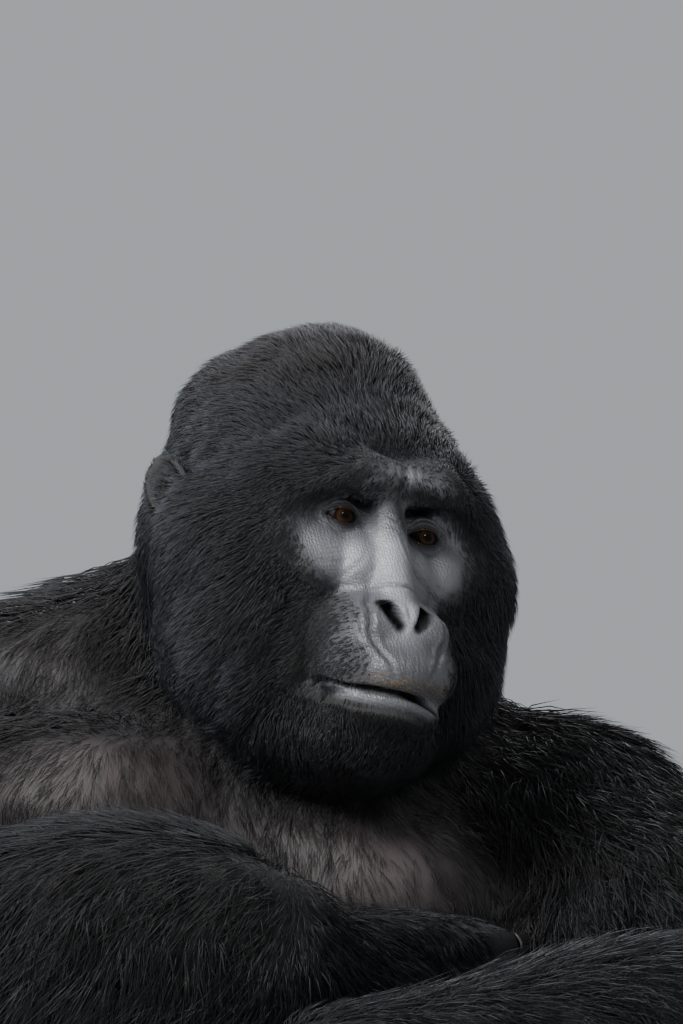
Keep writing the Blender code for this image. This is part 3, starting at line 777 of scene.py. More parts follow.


# %% [markdown]
# The nostrils are wide commas between thick wings, and the mouth is a long low curve. Painted shade fills the
# nostrils and the mouth's corners. Fine wrinkles run down to the lip. Their ends are moved by random numbers, as even
# ones would look like a comb.

# %% Folds of the nose and mouth
INTO_NOSE = (0.0, 0.95, 0.30)
# the nostrils, filled with painted shade
for line, width in (([(-16, -60), (-13, -65), (-10, -70), (-7, -75)], 6.4),
                    ([(15, -61), (12.5, -66), (10, -70), (7, -74)], 5.6)):
    fold(line, width, 15.0, puff=0.0, shade=1.0, square=True, inwards=INTO_NOSE, taper=0.35)
fold([(-2, -58), (-1.5, -66), (-1.5, -72)], 2.2, 1.4)                         # notch over the septum
# the folds round the wing and down to the lip have painted shade in them
for line, width, deep, puff, shade in (
        ([(-20, -51), (-26, -59), (-30, -69), (-30, -80), (-26, -90)], 2.3, 3.0, 0.30, 0.55),     # round the wing
        ([(-27, -84), (-23, -94), (-17, -103), (-14, -111)], 1.8, 1.7, 0.3, 0.35),                # down to the lip
        ([(-33, -58), (-37, -74), (-35, -90), (-28, -104)], 2.2, 0.9, 0.25, 0.0)):                # outside both
    for mirror in (1, -1):
        fold([(mirror * across, up) for across, up in line], width, deep, puff=puff, shade=shade)
fold([(-20, -48), (-10, -44), (4, -44), (18, -48)], 1.5, 2.0, shade=0.35)      # over the nose pad, with painted shade
fold([(-14, -38), (-4, -36), (8, -38)], 1.1, 0.5)
MOUTH = [(-47, -118), (-43, -119.5), (-38, -121), (-22, -121), (-6, -122), (8, -124), (20, -128), (29, -131)]
# the mouth's line and its run round the muzzle are painted near black as shade
fold(MOUTH, 2.2, 6.0, puff=0.10, shade=1.0, square=True)
CORNER = [(-46, -46, -118), (-50, -36, -118.5), (-51, -24, -120)]               # it runs on round the muzzle
fold(CORNER, 2.4, 5.0, puff=0.1, shade=0.95, square=True)
for rise, width, deep, shade in ((-6, 3.2, -2.2, 0.0),                         # rim of the lower lip
                                 (-12, 2.6, 2.6, 0.5),                         # groove under the lip, with painted shade
                                 (5, 3.0, -0.8, 0.35)):                        # edge of the upper lip, with painted shade
    fold([(across, up + rise) for across, up in MOUTH[1:-1]], width, deep, puff=0.0, shade=shade)
for corner, size in (((-49, -36, -121), 13), ((33, -38, -131), 10)):           # painted shade in the mouth's corners
    dark = np.maximum(dark, 0.9 * np.exp(bell(np.linalg.norm(at - np.array(corner), axis=1), 0, size)))
for start in (-27, -21, -17, -11, -6, 0, 4, 10, 14, 19, 25, 30):                # wrinkles of the upper lip
    top, foot = -90 + random.uniform(-4, 4), -112 + random.uniform(-3, 3)
    fold([(start, top), (start * 1.06 + random.uniform(-1.5, 1.5), (top + foot) / 2), (start * 1.16, foot)],
         0.9, random.uniform(0.25, 0.60))
print("folded vertices round nose and mouth:", int((np.abs(sink).max(axis=1) > 0.2).sum()))

# %% [markdown]
# The brow is one thick roll with slanting wrinkles, and its shade is painted on the sockets and the root of the nose.
# Long creases sweep from the inner corners of the eyes over the cheeks, with finer ones between them.

# %% Folds of the brow, the bridge and the cheeks
fold([(-58, 26), (-44, 34), (-28, 38), (-8, 37), (14, 36), (36, 32), (56, 24)], 7.5, -2.6)    # the brow's roll
fold([(-1, 50), (0, 36), (-1, 18)], 4.0, 1.6)                                  # between the brows
fold([(-9, 46), (-8, 34), (-11, 22)], 1.6, 0.8)
fold([(8, 44), (8, 32), (11, 20)], 1.6, 0.8)
fold([(-62, 14), (-46, 19), (-30, 18), (-18, 11)], 5.0, 2.4, puff=0, shade=0.75)  # painted shade under the brows
fold([(62, 12), (46, 17), (30, 17), (18, 10)], 5.0, 2.4, puff=0, shade=0.75)
fold([(0, 30), (2, 16), (6, 2), (8, -8)], 4.5, 0.4, puff=0, shade=0.6)         # painted shade at the root of the nose
# a band darkened under the brow's roll: painted shade, and the darker skin under its short hair
fold([(-30, 23), (-15, 25), (0, 25), (16, 22), (34, 21), (52, 12)], 6.5, 0.2, puff=0, shade=0.62)
for across in (-40, -33, -25, -19, -10, -3, 5, 13, 18, 27, 35, 42):            # slanting wrinkles of the brow
    lean = random.uniform(1, 7)
    fold([(across, 45), (across + lean, 36), (across + lean * 1.5, 27)], 1.0, random.uniform(0.2, 0.55))
# a crease from the bridge over the left cheek, with a little painted shade
fold([(3, -6), (9, -22), (20, -34), (34, -44), (46, -51)], 1.9, 1.9, shade=0.25)
fold([(-19, -14), (-24, -28), (-34, -40), (-46, -48)], 1.9, 0.45)
fold([(12, -20), (26, -31), (44, -40), (58, -44)], 1.5, 0.6)
fold([(-26, -25), (-38, -32), (-54, -34), (-64, -30)], 1.5, 0.5)
fold([(-8, 8), (0, 3), (7, 8)], 1.2, 0.9)                                      # root of the nose
fold([(-7, 0), (0, -4), (6, 0)], 1.1, 0.6)
for i in range(9):                                                             # fine creases of the cheeks
    for side in SIDES.values():
        drop = -20 - 3.6 * i
        fold([(side * (28 + 1.4 * i), drop + 5), (side * (44 + i), drop), (side * (60 - i), drop - 3)], 0.9, 0.40)
moved = at + sink
print("deepest fold:", round(float(np.linalg.norm(sink, axis=1).max()), 1), "mm")

# %% [markdown]
# The lids hug the eyeball. Skin inside the almond-shaped opening sinks behind the ball, and skin around it is
# drawn on to a slightly larger ball. Arcs above and below the opening are the folds of the lids. Lids made as pieces
# of their own would need a seam in the middle of the face.

# %% The eye's opening and lids
HALF_OPENING, OPENING_RISE = 11.6, 5.9    # mm: half the opening's width, and its height over or below the middle
POINTED = 0.72                            # 0.5 would be an ellipse. More draws the corners out to points
BALL_REACH = 10.9                         # mm from the middle of the eye. Skin farther out leaves the ball's curve
LID_GAP, LID_THICK = 0.35, 1.9            # mm between lid and ball, and the lid's thickness a few mm out


def almond(across, up):
    """Distance outside the eye's opening, in mm, taken along the height. Below 0 is inside."""
    edge = OPENING_RISE * np.clip(1 - (across / HALF_OPENING) ** 2, 0, 1) ** POINTED
    beyond = np.maximum(np.abs(across) - HALF_OPENING, 0)
    return np.hypot(np.abs(up) - edge, beyond) * np.where((np.abs(up) > edge) | (beyond > 0), 1, -1)


opened = np.zeros(len(at))
for middle in eye_at.values():
    offset = moved - middle
    across, up = offset[:, 0], offset[:, 2]
    around = np.hypot(across, up)
    near = (around < 22) & (offset[:, 1] < 12) & (face_normals[:, 1] < 0.2)
    gap = almond(across, up)
    snap = near & (np.abs(gap) < 0.45)                       # vertices close to the edge move on to it
    offset[snap, 2] -= (gap * np.sign(up))[snap]
    gap = almond(offset[:, 0], offset[:, 2])
    lid_radius = EYE_RADIUS + (LID_GAP + LID_THICK * ramp(gap, 0.0, 5.0))
    front = -np.sqrt(np.maximum(lid_radius ** 2 - np.minimum(around, BALL_REACH) ** 2, 4.0))
    front += 0.55 * np.maximum(around - BALL_REACH, 0)
    hug = 1 - ramp(gap, 2.0, 10.0)
    arcs = 0.95 * np.exp(bell(gap, 3.4, 0.8)) + 1.10 * np.exp(bell(gap, 6.6, 0.9)) + 0.75 * np.exp(bell(gap, 9.8, 1.0))
    y = offset[:, 1] * (1 - hug) + front * hug + np.where(up > 0, 1.0, 0.65) * arcs * (gap > 1.2)
    y = np.where(gap < -0.25, 5.0, y)
    offset[:, 1] = np.where(near, y, offset[:, 1])
    moved = np.where(near[:, None], offset + middle, moved)
    opened = np.maximum(opened, near * np.exp(-np.maximum(gap, 0) / 2.5))
    # painted shade in the socket round each eye
    dark = np.maximum(dark, near * 0.86 * np.exp(-np.maximum(gap, 0) / 5.0))
turn_out = np.array(head_frame)
set_points(skin.data, moved @ turn_out[:3, :3].T + turn_out[:3, 3])
print("vertices inside the openings:", int((opened > 0.9).sum()))

# %% [markdown]
# Where a lid meets the ball there is a line of wet pink-brown skin that glints. It is one round tube along each
# opening, swept along a curve, and it also hides the skin's last edge.

# %% The wet rims of the lids
RIM_RADIUS = 0.62                                            # mm
curve = bpy.data.curves.new("lid_rims", "CURVE")
curve.dimensions = "3D"
curve.bevel_depth = RIM_RADIUS * MM
curve.bevel_resolution = 3
for middle in eye_at.values():
    spline = curve.splines.new("POLY")
    spline.points.add(55)
    spline.use_cyclic_u = True
    for step, point in enumerate(spline.points):
        angle = 2 * math.pi * step / 56
        across = HALF_OPENING * math.cos(angle)
        up = max(1 - (across / HALF_OPENING) ** 2, 0) ** POINTED
        up *= OPENING_RISE if math.sin(angle) > 0 else -OPENING_RISE
        forward = -math.sqrt((EYE_RADIUS + 0.1) ** 2 - across ** 2 - up ** 2)
        point.co = (*(head_frame @ (Vector(middle) + Vector((across, forward, up)))), 1.0)
lid_rims = new_object("lid_rims", curve)
bpy.context.view_layer.update()
mesh = bpy.data.meshes.new_from_object(lid_rims.evaluated_get(bpy.context.evaluated_depsgraph_get()))
bpy.data.objects.remove(lid_rims)
mesh.name = "lid_rims"
mesh.materials.clear()
mesh.shade_smooth()
lid_rims = new_object("lid_rims", mesh)
print("lid rims:", len(mesh.polygons), "faces")

# %% [markdown]
# A gorilla's eye shows almost no white: the ball is dark brown around a red-brown iris. The ball is a sphere whose
# pole is the pupil, so its rings can carry one value, the angle from the pupil, that the material reads.

# %% Eyeballs
CORNEA_ANGLE, CORNEA_RISE = 33.0, 0.9     # degrees from the pupil, mm


def eyeball(side_name):
    """An eyeball that looks out of the face, with a bulging cornea."""
    bm = bmesh.new()
    bmesh.ops.create_uvsphere(bm, u_segments=64, v_segments=64, radius=EYE_RADIUS)
    angles = []
    for vert in bm.verts:
        angle = math.degrees(vert.co.angle(Vector((0, 0, 1))))
        angles.append(angle / 90)
        if angle < CORNEA_ANGLE:
            vert.co *= 1 + CORNEA_RISE / EYE_RADIUS * (1 - (angle / CORNEA_ANGLE) ** 2)
    bmesh.ops.rotate(bm, verts=bm.verts, matrix=Matrix.Rotation(math.radians(90), 3, "X"))
    bm.transform(head_frame @ Matrix.Translation(Vector(eye_at[side_name])))
    mesh = mesh_of(bm, "eyeball_" + side_name)
    mesh.attributes.new("ring", "FLOAT", "POINT").data.foreach_set("value", angles)
    mesh.shade_smooth()
    return new_object("eyeball_" + side_name, mesh)


eyeballs = {side_name: eyeball(side_name) for side_name in SIDES}
print("eyeballs:", [tuple(round(v, 3) for v in centre) for centre in eye_centres.values()])

# %% [markdown]
# Gorillas have flat nails like ours. Each one is a small arched plate, let into the back of a digit's last joint.
# A grid bent over the joint and given a thickness is enough, as a nail is only seen from above.

# %% Nails
NAIL_THICKNESS = 0.0016                                      # metres


def nails(name, place, digits, share):
    """Nails for the digits of one hand or foot, as one piece."""
    joined = bmesh.new()
    for points, radii in digits:
        start, end = points[-2:]
        along = (end - start).normalized()
        out = (Vector((0, 0, 1)) - along * along.z).normalized()
        across = along.cross(out)
        radius = radii[-1]
        bm = bmesh.new()
        bmesh.ops.create_grid(bm, x_segments=8, y_segments=8, size=1.0)
        for vert in bm.verts:
            x, y = vert.co.x, vert.co.y
            taper = 1 - 0.18 * max(y, 0) ** 2
            height = radius * (1.02 - 0.42 * x * x - 0.10 * y * y)
            vert.co = end + across * (x * taper * radius * 0.74) + along * (y * radius * share) + out * height
        bmesh.ops.solidify(bm, geom=bm.faces, thickness=NAIL_THICKNESS)
        bmesh.ops.recalc_face_normals(bm, faces=bm.faces)
        bm.transform(place)
        piece = mesh_of(bm, "nail")
        joined.from_mesh(piece)
        bpy.data.meshes.remove(piece)
    mesh = mesh_of(joined, name)
    mesh.shade_smooth()
    return new_object(name, mesh)


nail_pieces = []
for side_name in SIDES:
    for part, frame_of, digits_of, share in (("hand_", hand_frame, hand_digits, 0.85),
                                             ("foot_", foot_frame, foot_digits, 0.75)):
        nail_pieces.append(nails("nails_" + part + side_name, frame_of(side_name), digits_of(side_name), share))
print("nails:", [len(piece.data.polygons) for piece in nail_pieces])

# %% [markdown]
# Skin and coat share one marking: the colour of the hair at each place, kept as a colour on every vertex. A silverback
# is black, with a brown tinge on the crown and a saddle of silver-grey over the back. A painted map could
# hold this too, but it would need an unwrap, and tufts can read a vertex colour at their roots.


# %% Colours
def linear(code):
    """An sRGB hex colour as linear red, green and blue."""
    channels = [int(code[i:i + 2], 16) / 255 for i in (1, 3, 5)]
    return [c / 12.92 if c <= 0.04045 else ((c + 0.055) / 1.055) ** 2.4 for c in channels]


def ripple(points, size, seed):
    """A soft random wave over the body, about -1 to 1. size is the wave's length in metres."""
    waves = np.random.default_rng(seed)
    total = np.zeros(len(points))
    for _ in range(5):
        run = unit(waves.normal(size=3)) * 2 * math.pi / size
        total += np.sin(points @ run + waves.uniform(0, 6.28))
    return total / 2.2


BLACK_HAIR, BROWN_HAIR, SILVER_HAIR = (np.array(linear(code)) for code in ("#121214", "#2a211e", "#94969c"))
points = read(skin.data, "points")
normals = read(skin.data, "normals")
x, y, z = points.T
hx, hy, hz = head_points(points).T
crown = ramp(hz, 60, 120) * ramp(hy, 20, 90) * belongs("head")
ragged = z + 0.03 * ripple(points, 0.09, 3)
saddle = ramp(normals[:, 1], 0.0, 0.5) * ramp(ragged, 0.10, 0.26) * ramp(-ragged, -0.66, -0.47) * trunk_like
saddle = saddle * (0.88 + 0.12 * ripple(points, 0.12, 4))
patches = 0.5 + 0.5 * ripple(points, 0.16, 5)
crown, saddle, patches = (spread(field[:, None], 8) for field in (crown, saddle, patches))
pelt = BLACK_HAIR * np.ones((len(points), 1))
pelt += (BROWN_HAIR - pelt) * np.clip(0.50 * crown + 0.10 * patches + 0.30 * chest[:, None], 0, 1)
pelt += (SILVER_HAIR - pelt) * np.clip(0.85 * saddle, 0, 1)
arms, ears = (spread(belongs(*[name for name in flesh_nodes if word in name])[:, None], passes)
              for word, passes in (("arm", 14), ("ear_", 4)))
pelt = pelt * (1 - 0.35 * arms) * (1 - 0.45 * ears)          # arms are darker, as black hair with painted shade over it, and ears are darker too
dirt = ramp(hz, -122, -116) * ramp(-hz, 108, 113) * ramp(hx, -46, -10) * bare_face
# painted sheen: the skin is painted paler where the light catches it most: bridge, nose pad, upper cheeks and brow
painted_sheen = (np.exp(bell(hx + 3 + 0.02 * hz, 0, 13)) * ramp(-hz, 0, 18) * ramp(hz, -96, -74)
        + 0.7 * np.exp(bell(hx, -34, 20) + bell(hz, -24, 15))
        + 0.4 * np.exp(bell(hx, 36, 18) + bell(hz, -28, 14))
        + 0.22 * np.exp(bell(hz, 36, 8)) * ramp(50 - np.abs(hx), 0, 20)) * bare_face
# the chest's bare patches also get the painted sheen
painted_sheen += 0.9 * bare_and_sheen_patches
print("silver vertices:", int((saddle > 0.5).sum()))

# %% [markdown]
# A material can only read what the mesh carries. Each value is stored on the skin's vertices under a plain name: how
# bare the skin is there, how dark with painted shade and darker skin, how much painted sheen it has and how dirty it
# is. The coat's material reads the same pelt colour.

# %% Store values on the skin
# painted shade of folds, recesses and sockets, together with the darker palms, soles and skin under fine hair
shade_and_tone = np.maximum.reduce([dark, 0.62 * bare_limbs, 0.60 * lip_side, 0.55 * face_edge])
for name, field in {"bare": np.maximum(bareness, chest), "chest": chest, "dark": shade_and_tone, "painted_sheen": painted_sheen,
                    "dirt": dirt}.items():
    store = skin.data.attributes.new(name, "FLOAT", "POINT")
    store.data.foreach_set("value", np.clip(field, 0, 1).astype(np.float32))
store = skin.data.attributes.new("pelt", "FLOAT_COLOR", "POINT")
store.data.foreach_set("color", np.column_stack([pelt, np.ones(len(pelt))]).astype(np.float32).ravel())
skin.data.shade_smooth()
print("stored on the skin:", [store.name for store in skin.data.attributes if not store.name.startswith(".")])

# %% [markdown]
# The coat is made of tufts. A tuft is a thin closed spindle: a point at its root, one or two rings of three
# vertices, and a point at its tip. Its root sits in the skin, it leans over at once, and then it lies along the
# body. Hundreds of thousands of them are built as arrays, because an operator for each would take hours. The roots
# are scattered by chance, more of them where the coat is dense.

# %% Scatter the roots
MOST_TUFTS = 228000
triangles = read(skin.data, "triangles")
corners = points[triangles]
areas = np.linalg.norm(np.cross(corners[:, 1] - corners[:, 0], corners[:, 2] - corners[:, 0]), axis=1) / 2
cover = np.clip(1 - 1.06 * bareness, 0, 1) ** 1.5 * (1 - 0.65 * bare_and_sheen_patches) + fuzz
cover[opened > 0.02] = 0
crowding = pile[:, CROWD] * cover                            # tufts to each square centimetre
wanted = areas * 1e4 * crowding[triangles].mean(axis=1)
TUFTS = int(min(wanted.sum(), MOST_TUFTS))
chosen = np.sort(random.choice(len(triangles), TUFTS, p=wanted / wanted.sum()))
r1, r2 = np.sqrt(random.random(TUFTS)), random.random(TUFTS)
shares = columns(1 - r1, r1 * (1 - r2), r1 * r2)


def at_roots(field):
    """A field of the skin at each root."""
    return (field[triangles[chosen]] * shares.reshape(shares.shape + (1,) * (field.ndim - 1))).sum(axis=1)


roots = at_roots(points)
root_normals = unit(at_roots(unit(spread(normals, 2))))
root_pile = at_roots(pile)
root_part = part_of[triangles[chosen][:, 0]]
root_pelt = at_roots(pelt)
print("tufts wanted:", int(wanted.sum()), "made:", TUFTS)

# %% [markdown]
# Combed hair has order at three sizes. All of it follows the lie of the coat. Neighbours sway the same way, in locks
# a few centimetres long whose tips draw together. Then each tuft strays a little by itself. Chance alone would look
# like felt.

# %% Comb them
LOCK = 0.014                                                 # metres: tips draw together in locks this wide
root_lie = at_roots(lie)
root_lie = unit(root_lie - root_normals * (root_lie * root_normals).sum(axis=1, keepdims=True))
side_of = np.cross(root_normals, root_lie)
loose = ramp(root_pile[:, LENGTH], 26, 50)                   # long hair is the most tousled
sway = 0.20 * ripple(roots, 0.05, 11) + 0.14 * ripple(roots, 0.018, 12) + random.normal(0, 0.11, TUFTS)
sway += loose * (0.22 * ripple(roots, 0.09, 14) + random.normal(0, 0.16, TUFTS))
root_lie = unit(root_lie + side_of * sway[:, None])
side_of = np.cross(root_normals, root_lie)
length = root_pile[:, LENGTH] * random.uniform(0.72, 1.18, TUFTS) * MM
height = root_pile[:, DEPTH] * random.uniform(0.65, 1.12, TUFTS) * (1 + 0.12 * ripple(roots, 0.03, 13)) * MM
height = np.maximum(height, 0.10 * length)
width = root_pile[:, WIDTH] * random.uniform(0.75, 1.25, TUFTS) * MM
cell = np.floor(roots / LOCK + 0.35 * np.sin(roots[:, [1, 2, 0]] / LOCK * 1.7)).astype(np.int64)
lock_of = np.unique(cell, axis=0, return_inverse=True)[1].ravel()
count = np.bincount(lock_of)
middles = np.stack([np.bincount(lock_of, roots[:, k]) / count for k in range(3)], 1)
pull = (middles[lock_of] - roots) * (0.42 * ramp(length, 0.02, 0.05))[:, None]
bend = random.normal(0, 0.10, TUFTS) + loose * random.normal(0, 0.14, TUFTS)
print("locks:", len(count))

# %% [markdown]
# A long tuft that ran straight on would fly off a round shoulder. So each tip is looked up on the skin that lies
# under it, and most of the tip is drawn back to the coat's depth over that place.

# %% Lay the tips along the body
FOLLOW = 0.82
skin_tree = BVHTree.FromPolygons(points.tolist(), triangles.tolist())
ahead = roots + root_lie * length[:, None] * 0.93 + pull + side_of * (length * bend)[:, None]
under_tip = np.array([[*place, *out] for place, out, _, _ in map(skin_tree.find_nearest, ahead.tolist())])
tips = FOLLOW * (under_tip[:, :3] + under_tip[:, 3:] * height[:, None])
tips += (1 - FOLLOW) * (ahead + root_normals * height[:, None])
print("tips drawn in by up to", round(float(np.linalg.norm(tips - ahead, axis=1).max()) * 1000), "mm")

# %% [markdown]
# A spindle needs 6 triangles with one ring and 12 with two. Only the longest tufts get two, to bend twice. All
# spindles of a kind share one list of faces, and only the numbers of their vertices are shifted.

# %% Build the tufts
# for one ring or two: each ring's share of the way to the tip, its rise in the coat and its thickness
STATIONS = {1: ((0.38, 0.36, 1.0),), 2: ((0.24, 0.34, 0.9), (0.62, 0.34, 0.85))}


def spindles(select, rings):
    """Vertices, triangles and places along each tuft, for the selected tufts, with one ring or two."""
    stations = STATIONS[rings]
    root, up, across, tip = roots[select], root_normals[select], side_of[select], tips[select]
    high, wide = height[select][:, None], width[select][:, None]
    count, per = len(root), 2 + 3 * rings
    made = [(root - up * 1.2 * MM)[:, None]]
    turn = random.uniform(0, 2 * math.pi, count)
    for t, rise, fat in stations:
        middle = root + (tip - root) * t + up * high * rise
        for corner in range(3):
            angle = turn + corner * 2 * math.pi / 3
            offset = across * np.cos(angle)[:, None] + up * np.sin(angle)[:, None] * 0.75
            made.append((middle + offset * wide * 0.5 * fat)[:, None])
    verts = np.concatenate([*made, tip[:, None]], axis=1)
    lowest = random.uniform(0.0006, 0.0025, verts.shape[:2])
    verts[:, :, 2] = np.maximum(verts[:, :, 2], lowest)          # nothing pokes through the floor
    turns = [(c, (c + 1) % 3) for c in range(3)]
    faces = [(0, 1 + d, 1 + c) for c, d in turns]
    for a in range(1, per - 4, 3):                               # the band from each ring to the next
        for c, d in turns:
            faces += [(a + c, a + d, a + 3 + d), (a + c, a + 3 + d, a + 3 + c)]
    faces += [(per - 4 + c, per - 4 + d, per - 1) for c, d in turns]
    faces = (np.array(faces)[None] + np.arange(count)[:, None, None] * per).reshape(-1, 3)
    along = np.array([0.0] + [s[0] for s in stations for _ in range(3)] + [1.0])
    sideways = np.array([0.5] + [c / 2 for _ in stations for c in range(3)] + [0.5])
    return verts.reshape(-1, 3), faces, np.tile(along, count), np.tile(sideways, count), per


def triangle_mesh(name, verts, faces):
    """A mesh from arrays of vertices and triangles."""
    mesh = bpy.data.meshes.new(name)
    mesh.vertices.add(len(verts))
    mesh.vertices.foreach_set("co", verts.astype(np.float32).ravel())
    mesh.loops.add(faces.size)
    mesh.loops.foreach_set("vertex_index", faces.astype(np.int32).ravel())
    mesh.polygons.add(len(faces))
    mesh.polygons.foreach_set("loop_start", np.arange(0, faces.size, 3, dtype=np.int32))
    mesh.update(calc_edges=True)
    mesh.shade_smooth()
    return mesh


# %% [markdown]
# Each tuft also needs a place on a map of the skin, so that its colour can be baked. The skin around a piece is
# unwrapped as onto the six sides of a box, part by part, and the charts are set side by side in rows. Seams matter
# little here, as each tuft only takes a small patch at its root.

# %% Unwrap the roots
PATCH, CHART_GAP = 0.003, 0.008          # a tuft's patch, as a share of the map, and metres between charts


def unwrap(select):
    """The place of each selected tuft's root on a map of the skin, 0 to 1."""
    place, up = roots[select], root_normals[select]
    axis = np.abs(up).argmax(axis=1)
    chart = root_part[select] * 6 + axis * 2 + (up[np.arange(len(up)), axis] > 0)
    flat = np.zeros((len(place), 2))
    for k in range(3):
        flat[axis == k] = place[axis == k][:, [(k + 1) % 3, (k + 2) % 3]]
    boxes = []
    for name in np.unique(chart):
        mine = chart == name
        low, high = flat[mine].min(axis=0), flat[mine].max(axis=0)
        flat[mine] -= low
        boxes.append((high - low + CHART_GAP, name))
    boxes.sort(key=lambda item: -item[0][1])
    row_width = 1.15 * math.sqrt(sum(size[0] * size[1] for size, _ in boxes))
    row_width = max(row_width, max(size[0] for size, _ in boxes))
    left = bottom = row_height = 0.0
    for size, name in boxes:
        if left + size[0] > row_width:
            left, bottom, row_height = 0.0, bottom + row_height, 0.0
        flat[chart == name] += (left, bottom)
        left, row_height = left + size[0], max(row_height, size[1])
    return flat * ((1 - 2 * PATCH) / max(row_width, bottom + row_height)) + PATCH


# %% [markdown]
# The coat is cut into pieces by limb, so that no piece is too heavy to bake. A part with too many tufts is cut again
# from right to left, where the overlapping hair hides the cut.

# %% Make the coat's pieces
MOST_TRIANGLES = 190000
TWO_RINGS = 70 * MM                                          # longer tufts bend twice
GROUPS = {
    "coat_head": ("head", "ear_right", "ear_left"), "coat_body": ("trunk", "neck"),
    "coat_arm_right": ("upper_arm_right", "forearm_right", "hand_right"),
    "coat_arm_left": ("upper_arm_left", "forearm_left", "hand_left"),
    "coat_leg_right": ("thigh_right", "shin_right", "foot_right"),
    "coat_leg_left": ("thigh_left", "shin_left", "foot_left")}


def coat_piece(name, select):
    """One piece of the coat, with its tufts' colours and their places on the map of the skin."""
    spots = unwrap(select)
    stacks, base = [], 0
    for rings in (1, 2):
        which = (length[select] > TWO_RINGS) == (rings == 2)
        if which.any():
            verts, faces, along, sideways, per = spindles(select[which], rings)
            stray = np.repeat(random.uniform(0.72, 1.30, which.sum()), per)[:, None]
            tint = np.repeat(root_pelt[select[which]], per, axis=0) * stray
            spot = np.repeat(spots[which], per, axis=0) + columns(sideways - 0.5, along - 0.5) * PATCH
            stacks.append((verts, faces + base, np.column_stack([tint, along]), spot))
            base += len(verts)
    verts, faces, colours, uvs = (np.concatenate([stack[i] for stack in stacks]) for i in range(4))
    mesh = triangle_mesh(name, verts, faces)
    store = mesh.attributes.new("pelt", "FLOAT_COLOR", "POINT")
    store.data.foreach_set("color", colours.astype(np.float32).ravel())
    mesh.uv_layers.new(name="OFBake").data.foreach_set("uv", uvs[faces.ravel()].astype(np.float32).ravel())
    print(name, len(select), "tufts,", len(faces), "triangles")
    return new_object(name, mesh)


coat_pieces = []
for group, names in GROUPS.items():
    order = np.nonzero(np.isin(root_part, [flesh_nodes.index(name) for name in names]))[0]
    order = order[np.argsort(roots[order, 0], kind="stable")]
    cost = np.cumsum(np.where(length[order] > TWO_RINGS, 12, 6))
    number_wanted = math.ceil(cost[-1] / MOST_TRIANGLES)
    limit = cost / cost[-1] * number_wanted
    for number in range(number_wanted):
        name = group if number_wanted == 1 else group + "_" + str(number + 1)
        coat_pieces.append(coat_piece(name, order[(limit > number) & (limit <= number + 1)]))
print("coat:", sum(len(piece.data.polygons) for piece in coat_pieces), "triangles")

# %% [markdown]
# A material is named for what it is on the animal. Two small functions serve all of them: one adds a node with its
# values and what feeds it, the other feeds a node's sockets. Every pattern lives in metres on the object, so that it
# keeps its real size however the piece is cut.


# %% Helpers for materials
def feed(made, node, links):
    """Links a node's inputs. A node named as a source stands for its first output in use."""
    for name, source in links.items():
        if isinstance(source, bpy.types.Node):
            source = next(output for output in source.outputs if output.enabled)
        made.node_tree.links.new(source, node.inputs[name])


def add_node(made, kind, links=None, **settings):
    """Adds a node. links says what feeds its inputs, and settings are its values, with colours in hex."""
    node = made.node_tree.nodes.new("ShaderNode" + kind)
    for key, value in settings.items():
        if key.startswith("in_"):
            name = key[3:].replace("_", " ")
            value = (*linear(value), 1.0) if isinstance(value, str) else value
            node.inputs[int(name) if name.isdigit() else name].default_value = value
        else:
            setattr(node, key, value)
    feed(made, node, links or {})
    return node


def new_material(name, pieces, **sockets):
    """A material on some pieces, whose shader has the given values set on its own sockets, and the shader."""
    made = bpy.data.materials.new(name)
    made.use_nodes = True
    shader = made.node_tree.nodes["Principled BSDF"]
    for socket, value in sockets.items():
        shader.inputs[socket.replace("_", " ")].default_value = value
    for piece in pieces:
        piece.data.materials.append(made)
    print("material:", name)
    return made, shader


def noise_scale(size):
    """The scale of a noise whose blobs are about size mm apart."""
    return round(1 / (size * MM))


# %% [markdown]
# Bare gorilla skin is like thick black leather, and catches the sky as a grey sheen. It has a net of fine creases a
# few mm apart, with pores between them. The chest's skin is browner and has fine hair over it. The big folds are
# already in the mesh, so bump only has to add what is smaller than the mesh's triangles.

# %% Bare skin: its colour
BLOTCH, CRUMB = 26.3, 2.38                        # mm
bare_skin, shader = new_material("bare gorilla skin", [skin], IOR=1.45)
coords = add_node(bare_skin, "TexCoord").outputs["Object"]
is_bare, is_dark, is_dirt, is_chest, is_painted_sheen = (
    add_node(bare_skin, "Attribute", attribute_name=name).outputs["Fac"]
    for name in ("bare", "dark", "dirt", "chest", "painted_sheen"))
hair_colour = add_node(bare_skin, "Attribute", attribute_name="pelt").outputs["Color"]
blotch = add_node(bare_skin, "TexNoise", {"Vector": coords}, in_Scale=noise_scale(BLOTCH), in_Detail=5.0,
                  in_Roughness=0.6)
tones = []                                        # painted sheen: paler colours where the light catches the skin, in the face and on the browner chest
for deep, pale, sheen_colour in (("#3c3c40", "#55555a", "#86868c"), ("#161211", "#282120", "#443b3c")):
    tone = add_node(bare_skin, "Mix", {0: blotch}, data_type="RGBA", in_6=deep, in_7=pale)
    tones.append(add_node(bare_skin, "Mix", {0: is_painted_sheen, 6: tone}, data_type="RGBA", in_7=sheen_colour))
colour = add_node(bare_skin, "Mix", {0: is_chest, 6: tones[0], 7: tones[1]}, data_type="RGBA")
# painted shade makes folds, nostrils, mouth corners and sockets nearly black; palms and hair-covered skin darken too
colour = add_node(bare_skin, "Mix", {0: is_dark, 6: colour}, data_type="RGBA", in_7="#0b0b0c")
